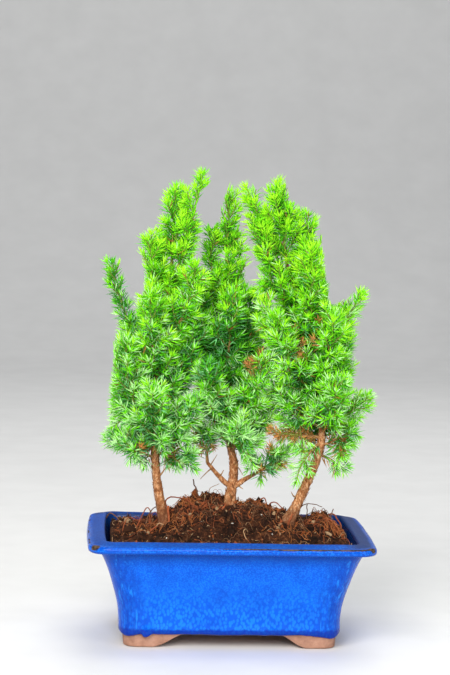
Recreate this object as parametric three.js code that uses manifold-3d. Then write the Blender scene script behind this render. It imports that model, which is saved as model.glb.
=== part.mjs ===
// A small juniper of three stems, trained as a bonsai in a glazed rectangular pot.
// Millimetres, +Z up, standing on z = 0. +X is to the right of the viewer, +Y away from the viewer.
import * as THREE from "three";
import { mergeVertices } from "three/addons/utils/BufferGeometryUtils.js";
import Module from "manifold-3d";

const wasm = await Module();
wasm.setup();

// ---------------------------------------------------------------- driving dimensions

const CLEARANCE = 0.3; // between pieces that touch
const TURN = 2 * Math.PI;

const POT = {
  length: 200, // outside the lip, along X
  width: 150, // outside the lip, along Y
  rim: 75.5, // height of the lip's top edge
  lipWidth: 13, // of the flat band round the mouth
  lipCorner: 15, // radius of the lip's corners
  bodyCorner: 12, // radius of the body's corners
  wall: 7,
  floor: 17, // height of the floor's upper face
  cornerSteps: 4,
};
// Outer face of the body: how far it lies inside the lip's edge, and at what height.
const BODY_PROFILE = [
  [24, 9.5],
  [22, 12.5],
  [21.4, 25.5],
  [17.7, 41],
  [11.5, 61],
  [8, 69.5],
];
const FOOT = {
  inset: 24.5, // of its outer face at the top, inside the lip's edge
  taper: 1, // more inset at the ground
  height: 10,
  band: 14, // thickness from outside to inside
  flatX: 21, // flat stretch along X that stands on the ground
  slopeX: 20, // run of the sloping end along X
  flatY: 15,
  slopeY: 13,
};
const DRAIN = { radius: 7, offset: 36, sides: 16 };
const SOIL = {
  edge: 71, // height along the pot's wall
  inset: 15.5, // of the surface's edge, inside the lip's edge
  corner: 9,
  climb: 6, // how soon the heaps reach their height, going in from the wall
  middle: 0.07, // size of the innermost ring, of the surface's edge
  rings: [0, 0.08, 0.25, 0.45, 0.65, 0.85, 1],
  headroom: 30, // cleared over a stem's foot
  footing: 1.3, // radius of the level ground at a stem's foot, of the stem's radius there
};
// Heaps of soil and root: place, height above the soil's edge, and spread.
const HEAPS = [
  { x: 2, y: 15, height: 18, spread: 25 },
  { x: -18, y: 24, height: 10, spread: 16 },
  { x: 27, y: 22, height: 7, spread: 18 },
  { x: -46, y: 2, height: 5, spread: 22 },
  { x: 48, y: 0, height: 5, spread: 24 },
  { x: 74, y: 12, height: 10, spread: 14 },
  { x: -84, y: 44, height: 5, spread: 16 },
];

// Stems: places [x, y, z, radius] of the axis from the ground up; the first lies on the soil.
const STEMS = {
  left: [
    [-46, 0, 0, 4.4],
    [-48.2, -0.5, 88, 3.5],
    [-53.4, -2, 121, 3.1],
    [-54, -1, 160, 2.6],
    [-50, 0, 215, 1.8],
    [-45, 1, 262, 1.1],
  ],
  middle: [
    [1.7, 15, 0, 4.5],
    [2.5, 15, 102, 3.6],
    [3.8, 15, 119, 3.2],
    [0.6, 16, 138, 2.7],
    [-3, 17, 180, 2.2],
    [-6, 19, 230, 1.6],
    [-5, 20, 266, 1.0],
  ],
  right: [
    [43, -2, 0, 5],
    [48.6, -2, 93, 3.8],
    [57, -1, 113, 3.4],
    [63.5, 0, 130, 3.2],
    [66, 0, 145, 2.8],
    [62, 1, 185, 2.2],
    [50, 2, 230, 1.7],
    [38, 2, 265, 1.1],
  ],
};
// Bare boughs: the stem they leave, the height, then their own places with radii.
const BOUGHS = {
  bough_middle_left: { stem: "middle", foot: 103, path: [[-7, 12, 112, 1.9], [-15.5, 10, 122, 1.3]] },
  bough_middle_right: { stem: "middle", foot: 103, path: [[10, 13, 108.5, 2], [18.5, 11, 114, 1.3]] },
};

// Masses of foliage. bearing: degrees from +X towards +Y. foot: height where the mass leaves its stem.
// reach: how far out its tip stands. top: height of the tip. girth: half its width.
// bow: how far out it swings before it rises. A mass on a bough's tip, or on the stem's own, names it.
const MASSES = {
  left: {
    leader: { on: "tip", bearing: 0, reach: 2, top: 326, girth: 13 },
    crest: { bearing: -24, foot: 238, reach: 27, top: 336, girth: 8, bow: 12 },
    shoulder: { bearing: 210, foot: 212, reach: 11, top: 292, girth: 11, bow: 13 },
    spur: { bearing: 178, foot: 190, reach: 36, top: 271, girth: 9, bow: 28 },
    bright: { bearing: -50, foot: 205, reach: 36, top: 273, girth: 13, bow: 30 },
    front: { bearing: -105, foot: 180, reach: 28, top: 256, girth: 14, bow: 25 },
    front_left: { bearing: -148, foot: 144, reach: 25, top: 218, girth: 15, bow: 31 },
    side: { bearing: 176, foot: 152, reach: 18, top: 214, girth: 14, bow: 29 },
    inner: { bearing: -10, foot: 164, reach: 28, top: 236, girth: 14, bow: 27 },
    low_front: { bearing: -92, foot: 134, reach: 34, top: 188, girth: 15, bow: 33 },
    low_side: { bearing: -142, foot: 127, reach: 31, top: 144, girth: 15, bow: 24 },
    low_inner: { bearing: -36, foot: 141, reach: 34, top: 178, girth: 15, bow: 32 },
    low_tip: { bearing: 180, foot: 133, reach: 36, top: 145, girth: 12, bow: 24 },
    droop: { bearing: -20, foot: 131, reach: 35, top: 122, girth: 15, bow: 20 },
    back_top: { bearing: 96, foot: 200, reach: 24, top: 284, girth: 14, bow: 25 },
    back_left: { bearing: 122, foot: 156, reach: 34, top: 226, girth: 15, bow: 34 },
    back_right: { bearing: 52, foot: 158, reach: 36, top: 240, girth: 15, bow: 34 },
    back_low: { bearing: 96, foot: 130, reach: 38, top: 172, girth: 16, bow: 32 },
  },
  middle: {
    leader: { on: "tip", bearing: 0, reach: 2, top: 323, girth: 12 },
    left: { bearing: 172, foot: 222, reach: 9, top: 295, girth: 11, bow: 13 },
    right: { bearing: 0, foot: 216, reach: 4, top: 291, girth: 10, bow: 8 },
    mid_left: { bearing: 190, foot: 172, reach: 20, top: 248, girth: 13, bow: 20 },
    mid_right: { bearing: -8, foot: 175, reach: 11, top: 255, girth: 13, bow: 18 },
    front: { bearing: -84, foot: 190, reach: 26, top: 252, girth: 14, bow: 24 },
    spray_left: { bearing: -116, foot: 146, reach: 46, top: 202, girth: 13, bow: 38 },
    spray_right: { bearing: -58, foot: 152, reach: 44, top: 208, girth: 15, bow: 36 },
    low_front: { bearing: -84, foot: 130, reach: 40, top: 158, girth: 15, bow: 30 },
    low_right: { bearing: -28, foot: 137, reach: 33, top: 178, girth: 15, bow: 28 },
    on_right_bough: { on: "bough_middle_right", bearing: -10, reach: 21, top: 131, girth: 16 },
    on_left_bough: { on: "bough_middle_left", bearing: -110, reach: 7, top: 153, girth: 13 },
    back_right: { bearing: 50, foot: 146, reach: 30, top: 230, girth: 15, bow: 30 },
    back_left: { bearing: 130, foot: 153, reach: 30, top: 226, girth: 15, bow: 30 },
  },
  right: {
    leader: { on: "tip", bearing: 192, reach: 9, top: 328, girth: 16 },
    nodding: { bearing: 178, foot: 250, reach: 38, top: 327, girth: 9, bow: 19 },
    left: { bearing: 184, foot: 226, reach: 35, top: 302, girth: 12, bow: 26 },
    shoulder: { bearing: -4, foot: 222, reach: -3, top: 310, girth: 11, bow: 5 },
    bulge: { bearing: -14, foot: 198, reach: -2, top: 258, girth: 13, bow: 12 },
    spur: { bearing: 2, foot: 190, reach: 31, top: 253, girth: 10, bow: 18 },
    side: { bearing: -20, foot: 164, reach: 13, top: 218, girth: 15, bow: 17 },
    spray: { bearing: 4, foot: 150, reach: 38, top: 178, girth: 10, bow: 24 },
    low_side: { bearing: -14, foot: 137, reach: 25, top: 158, girth: 14, bow: 22 },
    droop_side: { bearing: -4, foot: 131, reach: 22, top: 114, girth: 10, bow: 17 },
    droop_front: { bearing: -132, foot: 140, reach: 29, top: 108, girth: 10, bow: 30 },
    front_upper: { bearing: -96, foot: 210, reach: 23, top: 286, girth: 14, bow: 23 },
    front_left: { bearing: -146, foot: 172, reach: 42, top: 236, girth: 15, bow: 40 },
    front: { bearing: -76, foot: 182, reach: 30, top: 240, girth: 15, bow: 28 },
    low_front: { bearing: -80, foot: 147, reach: 36, top: 196, girth: 15, bow: 33 },
    low_left: { bearing: -162, foot: 150, reach: 38, top: 186, girth: 15, bow: 32 },
    dead: { bearing: 197, foot: 143, reach: 45, top: 149, girth: 6, bow: 22, dead: true },
    back_top: { bearing: 84, foot: 205, reach: 25, top: 286, girth: 14, bow: 25 },
    back_right: { bearing: 68, foot: 160, reach: 34, top: 236, girth: 15, bow: 34 },
    back_left: { bearing: 132, foot: 168, reach: 36, top: 240, girth: 15, bow: 34 },
    back_low: { bearing: 92, foot: 136, reach: 38, top: 180, girth: 16, bow: 34 },
  },
};

// Needles stand out of a shoot's skin in whorls, each a pyramid on one facet, larger than life.
const NEEDLE = {
  lean: 52, // from the shoot's direction
  twist: 30, // from one ring of the shoot to the next
  tipStep: 4, // of the shoot's tip, past the last whorl
  share: 0.78, // length on a core, of the mass's girth
  sideLength: 11,
  reach: 1.6, // farthest tip from the mass's stem, in girths
  fromLimb: 1.5, // clear of a stem's or bough's skin
};
// The core that a mass's needles stand on, round the mass's own stem.
const CORE = {
  sides: 5,
  slimSides: 4, // of a mass no wider than slimGirth
  slimGirth: 12,
  share: 0.42, // radius at its widest, of the mass's girth
  widest: 0.45, // share of the stem's length where it is widest
  foot: 1.6, // radius
  tip: 1.1,
  apart: 0.44, // of the distance to the next mass's stem
  whorl: 13, // step from one whorl to the next
  bare: 9, // of the stem's foot carries no needles
};
// Side shoots that leave the core in a spiral.
const SIDE = {
  sides: 3,
  radius: 2.5,
  tip: 1.1,
  whorl: 13,
  bare: 6,
  angle: 46, // between a side shoot and its stem
  spiral: 137.5, // from one side shoot to the next
  step: 18.5, // along the stem
  fewest: 4.2, // steps along a short stem
  first: 12,
  share: 0.6, // of the length of stem left above it
  shortest: 15,
  longest: 1.55, // times the mass's girth
  lift: 0.12, // rise of the tip, of the shoot's length
  swing: 0.06, // outward bend halfway, of the shoot's length
  jitter: 30, // spread of the spiral's steps
};
const STEM_STEPS = 12; // rings along a stem
const BEND = { swingHeight: 0.36, tipSwing: 0.12 }; // of a mass's stem: of its rise, and of its reach
const SEED = { first: 17, step: 7919 };

const CORE_TRIALS = 9; // with ever shorter needles

const COLOUR = {
  glaze: 0x0a4fd0,
  soil: 0x4a2c1c,
  bark: 0xa2673e,
  foliage: 0x4f9f22,
  dead: 0x9a5a2c,
};

// ---------------------------------------------------------------- small helpers

const vec = (x, y, z) => new THREE.Vector3(x, y, z);
const radians = THREE.MathUtils.degToRad;
const clamp = THREE.MathUtils.clamp;

// A repeatable stream of numbers from 0 to 1.
const STREAM = { factor: 1664525, step: 1013904223, size: 2 ** 32 };
function stream(seed) {
  let state = seed >>> 0;
  return () => {
    state = (Math.imul(state, STREAM.factor) + STREAM.step) >>> 0;
    return state / STREAM.size;
  };
}

function solidFrom(points, triangles) {
  const geometry = new THREE.BufferGeometry();
  geometry.setAttribute("position", new THREE.Float32BufferAttribute(points.flatMap((p) => p.toArray()), 3));
  geometry.setIndex(triangles);
  return solidOf(geometry);
}

function solidOf(geometry) {
  const bare = geometry.clone();
  bare.deleteAttribute("normal");
  bare.deleteAttribute("uv");
  const merged = mergeVertices(bare, 1e-4);
  return new wasm.Manifold(
    new wasm.Mesh({
      numProp: 3,
      vertProperties: new Float32Array(merged.attributes.position.array),
      triVerts: new Uint32Array(merged.index.array),
    }),
  );
}

function geometryOf(solid) {
  const made = solid.getMesh();
  const places = new Float32Array(made.numVert * 3);
  for (let i = 0; i < made.numVert; i += 1) {
    places.set(made.vertProperties.subarray(i * made.numProp, i * made.numProp + 3), i * 3);
  }
  const geometry = new THREE.BufferGeometry();
  geometry.setAttribute("position", new THREE.BufferAttribute(places, 3));
  geometry.setIndex(new THREE.BufferAttribute(new Uint32Array(made.triVerts), 1));
  geometry.computeVertexNormals();
  return geometry;
}

// The largest of the bodies that a cut leaves.
function largest(solid) {
  return solid.decompose().reduce((a, b) => (b.volume() > a.volume() ? b : a));
}

// A closed body through rings of equally many points, with a flat fan over each end.
function loft(rings) {
  const count = rings[0].length;
  const points = rings.flat();
  const triangles = [];
  for (let r = 0; r + 1 < rings.length; r += 1) {
    for (let i = 0; i < count; i += 1) {
      const [a, b] = [r * count + i, r * count + ((i + 1) % count)];
      triangles.push(a, b, b + count, a, b + count, a + count);
    }
  }
  const last = (rings.length - 1) * count;
  for (let i = 1; i + 1 < count; i += 1) {
    triangles.push(0, i + 1, i, last, last + i, last + i + 1);
  }
  return solidFrom(points, triangles);
}

// ---------------------------------------------------------------- pot and soil

// Points of a rectangle with round corners, seen from above and turning left.
function roundedRing(inset, height, corner) {
  const [halfX, halfY] = [POT.length / 2 - inset, POT.width / 2 - inset];
  const signs = [[1, -1], [1, 1], [-1, 1], [-1, -1]];
  return signs.flatMap(([sx, sy], quarter) =>
    Array.from({ length: POT.cornerSteps + 1 }, (_, i) => {
      const angle = ((quarter - 1 + i / POT.cornerSteps) * Math.PI) / 2;
      return vec(
        sx * (halfX - corner) + corner * Math.cos(angle),
        sy * (halfY - corner) + corner * Math.sin(angle),
        height,
      );
    }),
  );
}

// A prism along an axis, from its outline seen along that axis.
function prism(outline, length, along) {
  const shape = new THREE.Shape(outline.map(([x, z]) => new THREE.Vector2(x, z)));
  const geometry = new THREE.ExtrudeGeometry(shape, { depth: length, bevelEnabled: false });
  geometry.translate(0, 0, -length / 2);
  geometry.rotateX(Math.PI / 2);
  if (along === "x") geometry.rotateZ(Math.PI / 2);
  return solidOf(geometry);
}

function potFeet() {
  const top = POT.floor - 5;
  const block = loft([
    roundedRing(FOOT.inset + FOOT.taper, 0, POT.bodyCorner - 4),
    roundedRing(FOOT.inset, FOOT.height, POT.bodyCorner - 2),
    roundedRing(FOOT.inset, top, POT.bodyCorner - 2),
  ]);
  const gap = (half, flat, slope) => {
    const [low, high] = [half - flat, half - flat - slope];
    return [[-low, -1], [low, -1], [high, FOOT.height], [-high, FOOT.height]];
  };
  const [halfX, halfY] = [POT.length / 2 - FOOT.inset - FOOT.taper, POT.width / 2 - FOOT.inset - FOOT.taper];
  const hollow = new THREE.BoxGeometry(2 * (halfX - FOOT.band), 2 * (halfY - FOOT.band), FOOT.height * 2);
  return block
    .subtract(prism(gap(halfX, FOOT.flatX, FOOT.slopeX), POT.width, "y"))
    .subtract(prism(gap(halfY, FOOT.flatY, FOOT.slopeY), POT.length, "x"))
    .subtract(solidOf(hollow));
}

function pot() {
  const outside = BODY_PROFILE.map(([inset, z]) => roundedRing(inset, z, POT.bodyCorner + inset / 12));
  const lip = [
    roundedRing(1.5, POT.rim - 6, POT.lipCorner),
    roundedRing(0, POT.rim - 4, POT.lipCorner),
    roundedRing(0.8, POT.rim - 1, POT.lipCorner),
    roundedRing(3, POT.rim, POT.lipCorner - 2),
    roundedRing(POT.lipWidth - 1, POT.rim, POT.lipCorner - 6),
    roundedRing(POT.lipWidth, POT.rim - 1.5, POT.lipCorner - 7),
  ];
  const inside = [
    roundedRing(POT.lipWidth + 1.5, POT.rim - 8, POT.lipCorner - 7),
    roundedRing(BODY_PROFILE[2][0] + POT.wall, POT.floor + 6, POT.bodyCorner - 4),
    roundedRing(BODY_PROFILE[2][0] + POT.wall + 3, POT.floor, POT.bodyCorner - 5),
  ];
  const drain = (side) => {
    const hole = new THREE.CylinderGeometry(DRAIN.radius, DRAIN.radius, POT.floor * 3, DRAIN.sides);
    hole.rotateX(Math.PI / 2);
    return solidOf(hole.translate(side * DRAIN.offset, 0, 0));
  };
  const body = loft([...outside, ...lip, ...inside]).add(potFeet());
  return body.subtract(drain(-1)).subtract(drain(1));
}

// Height of the soil over a place in the pot; share runs from 0 at the wall to 1 in the middle.
function soilHeight(x, y, share) {
  const heap = HEAPS.reduce(
    (sum, h) => sum + h.height * Math.exp(-((x - h.x) ** 2 + (y - h.y) ** 2) / (2 * h.spread ** 2)),
    0,
  );
  return SOIL.edge + heap * clamp(share * SOIL.climb, 0, 1);
}

const groundAt = ([x, y]) => soilHeight(x, y, 1);

function soil() {
  const innerInset = BODY_PROFILE[2][0] + POT.wall;
  const wall = [
    roundedRing(innerInset + 3 + CLEARANCE, POT.floor + CLEARANCE, POT.bodyCorner - 5),
    roundedRing(innerInset + CLEARANCE, POT.floor + 6, POT.bodyCorner - 4),
    roundedRing(POT.lipWidth + 1.5 + 2 * CLEARANCE, SOIL.edge - 2, POT.lipCorner - 7),
  ];
  const surface = SOIL.rings.map((share) => {
    const shrink = 1 - (1 - SOIL.middle) * share;
    return roundedRing(SOIL.inset, SOIL.edge, SOIL.corner).map((p) => {
      const [x, y] = [p.x * shrink, p.y * shrink];
      return vec(x, y, soilHeight(x, y, share));
    });
  });
  const levelled = Object.values(STEMS).map(([foot]) => {
    const [x, y, , radius] = foot;
    const block = new THREE.CylinderGeometry(radius * SOIL.footing, radius * SOIL.footing, SOIL.headroom, 12);
    block.rotateX(Math.PI / 2);
    return solidOf(block.translate(x, y, groundAt(foot) + SOIL.headroom / 2));
  });
  return levelled.reduce((body, block) => body.subtract(block), loft([...wall, ...surface]));
}

// ---------------------------------------------------------------- stems and boughs

// A smooth axis through [x, y, z, radius] places, with the radius at any share of its length.
function axisThrough(places) {
  const curve = new THREE.CatmullRomCurve3(places.map(([x, y, z]) => vec(x, y, z)), false, "centripetal");
  const radii = places.map((p) => p[3]);
  const radiusAt = (t) => {
    const f = clamp(t, 0, 1) * (radii.length - 1);
    const i = Math.min(Math.floor(f), radii.length - 2);
    return THREE.MathUtils.lerp(radii[i], radii[i + 1], f - i);
  };
  return { curve, radiusAt };
}

// Two directions across a tangent.
function across(tangent) {
  const side = vec(0, 1, 0).cross(tangent);
  if (side.lengthSq() < 0.05) side.copy(vec(1, 0, 0).cross(tangent));
  side.normalize();
  return [side, tangent.clone().cross(side).normalize()];
}

function ringAt(centre, tangent, radius, sides, turn = 0) {
  const [u, v] = across(tangent);
  return Array.from({ length: sides }, (_, i) => {
    const angle = (i / sides) * TURN + turn;
    return centre
      .clone()
      .addScaledVector(u, radius * Math.cos(angle))
      .addScaledVector(v, radius * Math.sin(angle));
  });
}

function limb({ curve, radiusAt }, { sides = 8, steps = 10, flatFoot = false, grow = 0 } = {}) {
  const rings = Array.from({ length: steps + 1 }, (_, i) => {
    const t = i / steps;
    const tangent = flatFoot && i === 0 ? vec(0, 0, 1) : curve.getTangent(t);
    return ringAt(curve.getPoint(t), tangent, radiusAt(t) + grow, sides);
  });
  return loft(rings);
}

// The share of a stem's axis at a given height.
function shareAtHeight({ curve }, height) {
  let [low, high] = [0, 1];
  for (let i = 0; i < 24; i += 1) {
    const mid = (low + high) / 2;
    if (curve.getPoint(mid).z < height) low = mid;
    else high = mid;
  }
  return low;
}

const stemAxes = Object.fromEntries(
  Object.entries(STEMS).map(([name, places]) => {
    const [[x, y, , radius], ...rest] = places;
    return [name, axisThrough([[x, y, groundAt(places[0]) + CLEARANCE, radius], ...rest])];
  }),
);

const boughAxes = Object.fromEntries(
  Object.entries(BOUGHS).map(([name, { stem, foot, path }]) => {
    const start = stemAxes[stem].curve.getPoint(shareAtHeight(stemAxes[stem], foot));
    return [name, axisThrough([[start.x, start.y, start.z, path[0][3] * 1.15], ...path])];
  }),
);

// ---------------------------------------------------------------- masses of foliage

// The curve that a mass's own stem follows, from its foot to its tip.
function massCurve(tree, { on, bearing, foot, reach, top, bow }) {
  const out = vec(Math.cos(radians(bearing)), Math.sin(radians(bearing)), 0);
  const stem = stemAxes[tree];
  if (on) {
    const holder = on === "tip" ? stem : boughAxes[on];
    const end = holder.curve.getPoint(1).addScaledVector(holder.curve.getTangent(1), CLEARANCE);
    const tip = end.clone().addScaledVector(out, reach).setZ(top);
    const middle = end.clone().lerp(tip, 0.5).addScaledVector(out, reach * BEND.tipSwing);
    return new THREE.QuadraticBezierCurve3(end, middle, tip);
  }
  const start = stem.curve.getPoint(shareAtHeight(stem, foot));
  const tip = start.clone().addScaledVector(out, reach).setZ(top);
  const swing = start.clone().addScaledVector(out, bow).setZ(foot + BEND.swingHeight * (top - foot));
  return new THREE.QuadraticBezierCurve3(start, swing, tip);
}

const masses = Object.entries(MASSES).flatMap(([tree, list]) =>
  Object.entries(list).map(([name, sizes]) => {
    const curve = massCurve(tree, sizes);
    return { name: `foliage_${tree}_${name}`, tree, ...sizes, curve, samples: curve.getPoints(14) };
  }),
);

const limbSamples = [...Object.values(stemAxes), ...Object.values(boughAxes)].map(({ curve, radiusAt }) =>
  Array.from({ length: 41 }, (_, i) => [curve.getPoint(i / 40), radiusAt(i / 40)]),
);

// How deep a point lies in a mass's space: its distance from the mass's stem over the mass's girth.
function depthIn(mass, point) {
  return Math.sqrt(Math.min(...mass.samples.map((s) => s.distanceToSquared(point)))) / mass.girth;
}

// Whether a needle's tip keeps to its own mass and stays off every limb.
function keepsToItself(mass, tip) {
  const own = depthIn(mass, tip);
  if (own > NEEDLE.reach) return false;
  if (masses.some((m) => m !== mass && depthIn(m, tip) < own * 1.06)) return false;
  return limbSamples.every((samples) => samples.every(([p, r]) => p.distanceTo(tip) > r + NEEDLE.fromLimb));
}

// How wide a mass's core may be at a place without leaving its own space.
function roomAt(mass, place) {
  const next = masses.filter((m) => m !== mass).map((m) => m.samples);
  const toNext = Math.sqrt(Math.min(...next.flat().map((p) => p.distanceToSquared(place))));
  const toLimb = Math.min(...limbSamples.flat().map(([p, r]) => p.distanceTo(place) - r));
  return Math.min(toNext * CORE.apart, toLimb - 2 * CLEARANCE);
}

// Radius of a mass's core along its stem: slim at the foot and the tip, widest between.
function coreRadius(mass) {
  return (share, place) => {
    const fromFoot = THREE.MathUtils.lerp(CORE.foot, mass.girth * CORE.share, share / CORE.widest);
    const toTip = THREE.MathUtils.lerp(CORE.tip, mass.girth * CORE.share, (1 - share) / (1 - CORE.widest));
    const least = THREE.MathUtils.lerp(CORE.foot, CORE.tip, share);
    return Math.max(least, Math.min(fromFoot, toTip, roomAt(mass, place)));
  };
}

const sideRadius = (share) => THREE.MathUtils.lerp(SIDE.radius, SIDE.tip, share);

// One shoot: a tapering stem whose faces are raised into needles, whorl by whorl.
function shoot(mass, curve, { sides, radiusAt, whorl, bare, length, grow = 0 }) {
  const span = curve.getLength();
  const whorls = Math.max(1, Math.round((span - bare - NEEDLE.tipStep) / whorl));
  const steps = [0, bare];
  for (let i = 1; i <= whorls; i += 1) {
    steps.push(bare + ((span - bare - NEEDLE.tipStep) * i) / whorls);
  }
  const points = [];
  const triangles = [];
  const centres = steps.map((s) => curve.getPointAt(s / span));
  const tangents = steps.map((s) => curve.getTangentAt(s / span));
  steps.forEach((s, k) => {
    const radius = radiusAt(s / span, centres[k]) + grow;
    points.push(...ringAt(centres[k], tangents[k], radius, sides, radians(NEEDLE.twist) * k));
  });
  const lean = radians(NEEDLE.lean);
  for (let k = 0; k + 1 < steps.length; k += 1) {
    for (let i = 0; i < sides; i += 1) {
      const [a, b] = [k * sides + i, k * sides + ((i + 1) % sides)];
      const [c, d] = [b + sides, a + sides];
      const middle = [a, b, c, d].reduce((sum, n) => sum.add(points[n]), vec(0, 0, 0)).divideScalar(4);
      const axis = centres[k].clone().lerp(centres[k + 1], 0.5);
      const outward = middle.clone().sub(axis).normalize();
      const tip = middle
        .clone()
        .addScaledVector(outward, (length + grow) * Math.sin(lean))
        .addScaledVector(tangents[k], (length + grow) * Math.cos(lean));
      if (k === 0 || !keepsToItself(mass, tip)) {
        triangles.push(a, b, c, a, c, d);
        continue;
      }
      points.push(tip);
      const n = points.length - 1;
      triangles.push(a, b, n, b, c, n, c, d, n, d, a, n);
    }
  }
  const last = (steps.length - 1) * sides;
  points.push(curve.getPoint(1).addScaledVector(tangents[tangents.length - 1], grow));
  const end = points.length - 1;
  for (let i = 0; i < sides; i += 1) {
    triangles.push(last + i, last + ((i + 1) % sides), end);
    if (i > 1) triangles.push(0, i, i - 1);
  }
  return solidFrom(points, triangles);
}

// Side shoots of a mass: where each leaves the stem, and the curve it follows.
function sideCurves(mass, random) {
  const span = mass.curve.getLength();
  const curves = [];
  let turn = random() * 360;
  const step = Math.min(SIDE.step, span / SIDE.fewest);
  for (let s = SIDE.first; s < span - SIDE.shortest * 0.5; s += step) {
    const start = mass.curve.getPointAt(s / span);
    const tangent = mass.curve.getTangentAt(s / span);
    const [u, v] = across(tangent);
    const out = u.multiplyScalar(Math.cos(radians(turn))).addScaledVector(v, Math.sin(radians(turn)));
    const longest = Math.max(SIDE.shortest, mass.girth * SIDE.longest);
    const length = clamp((span - s) * SIDE.share, SIDE.shortest, longest);
    const angle = radians(SIDE.angle);
    const heading = tangent.clone().multiplyScalar(Math.cos(angle)).addScaledVector(out, Math.sin(angle));
    const tip = start.clone().addScaledVector(heading, length);
    tip.z += length * SIDE.lift;
    const swing = start.clone().addScaledVector(heading, length / 2);
    swing.addScaledVector(out, length * SIDE.swing);
    curves.push(new THREE.QuadraticBezierCurve3(start, swing, tip));
    turn += SIDE.spiral + (random() - 0.5) * SIDE.jitter;
  }
  return curves;
}

const WIDER = CLEARANCE * 1.4; // all round, to keep the clearance

const wideLimbs = [
  ...Object.values(stemAxes).map((axis) => limb(axis, { steps: STEM_STEPS, grow: WIDER })),
  ...Object.values(boughAxes).map((axis) => limb(axis, { sides: 6, steps: 4, grow: WIDER })),
];

function meet(a, b) {
  const [p, q] = [a.boundingBox(), b.boundingBox()];
  const apart = [0, 1, 2].some((i) => p.min[i] > q.max[i] || q.min[i] > p.max[i]);
  return !apart && !a.intersect(b).isEmpty();
}

// Cuts a shoot clear of the limbs, and keeps the part that holds its tip.
const clearOfLimbs = (solid) => largest(wideLimbs.reduce((a, b) => a.subtract(b), solid));

// A mass's own stem and core, with shorter needles where the masses before it stand close.
function growCore(mass, earlier) {
  const sides = mass.girth > CORE.slimGirth ? CORE.sides : CORE.slimSides;
  const sizes = { ...CORE, sides, radiusAt: coreRadius(mass), length: mass.girth * NEEDLE.share };
  for (let trial = 0; trial < CORE_TRIALS; trial += 1) {
    const wide = shoot(mass, mass.curve, { ...sizes, grow: WIDER });
    if (!earlier.some((m) => meet(m.solid, wide))) return clearOfLimbs(shoot(mass, mass.curve, sizes));
    sizes.length *= 0.8;
  }
  throw new Error(`${mass.name} has no room`);
}

function growMasses() {
  masses.forEach((mass, index) => {
    mass.solid = growCore(mass, masses.slice(0, index));
  });
  masses.forEach((mass, index) => {
    const sizes = { ...SIDE, radiusAt: sideRadius, length: NEEDLE.sideLength };
    const others = masses.filter((m) => m !== mass);
    sideCurves(mass, stream(index * SEED.step + SEED.first)).forEach((curve) => {
      const side = shoot(mass, curve, sizes);
      const wide = shoot(mass, curve, { ...sizes, grow: WIDER });
      if (wideLimbs.some((l) => meet(l, side)) || others.some((m) => meet(m.solid, wide))) return;
      mass.solid = mass.solid.add(side);
    });
    mass.solid = largest(mass.solid);
  });
}

// ---------------------------------------------------------------- the plant

const finish = {
  glaze: new THREE.MeshStandardMaterial({ color: COLOUR.glaze, roughness: 0.15, metalness: 0 }),
  soil: new THREE.MeshStandardMaterial({ color: COLOUR.soil, roughness: 0.95, metalness: 0 }),
  bark: new THREE.MeshStandardMaterial({ color: COLOUR.bark, roughness: 0.85, metalness: 0 }),
  foliage: new THREE.MeshStandardMaterial({ color: COLOUR.foliage, roughness: 0.5, metalness: 0 }),
  dead: new THREE.MeshStandardMaterial({ color: COLOUR.dead, roughness: 0.8, metalness: 0 }),
};

const plant = new THREE.Group();

function place(name, solid, material) {
  const mesh = new THREE.Mesh(geometryOf(solid), material);
  mesh.name = name;
  plant.add(mesh);
}

place("pot", pot(), finish.glaze);
place("soil", soil(), finish.soil);

Object.entries(stemAxes).forEach(([name, axis]) => {
  place(`stem_${name}`, limb(axis, { steps: STEM_STEPS, flatFoot: true }), finish.bark);
});

Object.entries(boughAxes).forEach(([name, axis]) => {
  const fatStem = limb(stemAxes[BOUGHS[name].stem], { steps: STEM_STEPS, grow: CLEARANCE });
  place(name, largest(limb(axis, { sides: 6, steps: 4 }).subtract(fatStem)), finish.bark);
});

growMasses();
masses.forEach(({ name, solid, dead }) => place(name, solid, dead ? finish.dead : finish.foliage));

// The origin lies under the middle of the whole plant's box, on the ground.
const box = new THREE.Box3().setFromObject(plant);
plant.position.set(-(box.min.x + box.max.x) / 2, -(box.min.y + box.max.y) / 2, 0);

export default plant;
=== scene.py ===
"""Looks of a small juniper of three stems in a glazed pot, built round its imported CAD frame.

Lengths are millimetres from the pot's centre: x to the viewer's right, y away from the viewer,
z up from the ground. They become metres in the frame where a mesh is made.
"""

import math
from itertools import combinations, product

import bpy
import numpy as np
from mathutils import Matrix, Vector
from mathutils.geometry import tessellate_polygon


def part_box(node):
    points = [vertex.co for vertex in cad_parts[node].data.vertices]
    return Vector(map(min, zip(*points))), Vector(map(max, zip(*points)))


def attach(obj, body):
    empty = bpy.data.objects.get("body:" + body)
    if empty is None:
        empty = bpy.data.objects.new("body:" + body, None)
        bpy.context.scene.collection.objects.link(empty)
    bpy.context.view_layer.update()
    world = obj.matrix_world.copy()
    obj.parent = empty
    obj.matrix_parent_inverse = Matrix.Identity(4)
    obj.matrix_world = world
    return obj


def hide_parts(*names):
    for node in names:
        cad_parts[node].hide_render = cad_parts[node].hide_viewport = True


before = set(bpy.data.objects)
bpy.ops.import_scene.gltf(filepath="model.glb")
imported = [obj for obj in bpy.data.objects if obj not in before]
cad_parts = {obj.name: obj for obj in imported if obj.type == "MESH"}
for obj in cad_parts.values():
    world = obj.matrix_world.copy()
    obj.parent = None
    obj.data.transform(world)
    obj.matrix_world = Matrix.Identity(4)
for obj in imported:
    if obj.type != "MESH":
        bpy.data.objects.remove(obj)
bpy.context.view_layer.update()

# ---------------------------------------------------------------- sizes shared with the CAD source

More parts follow.
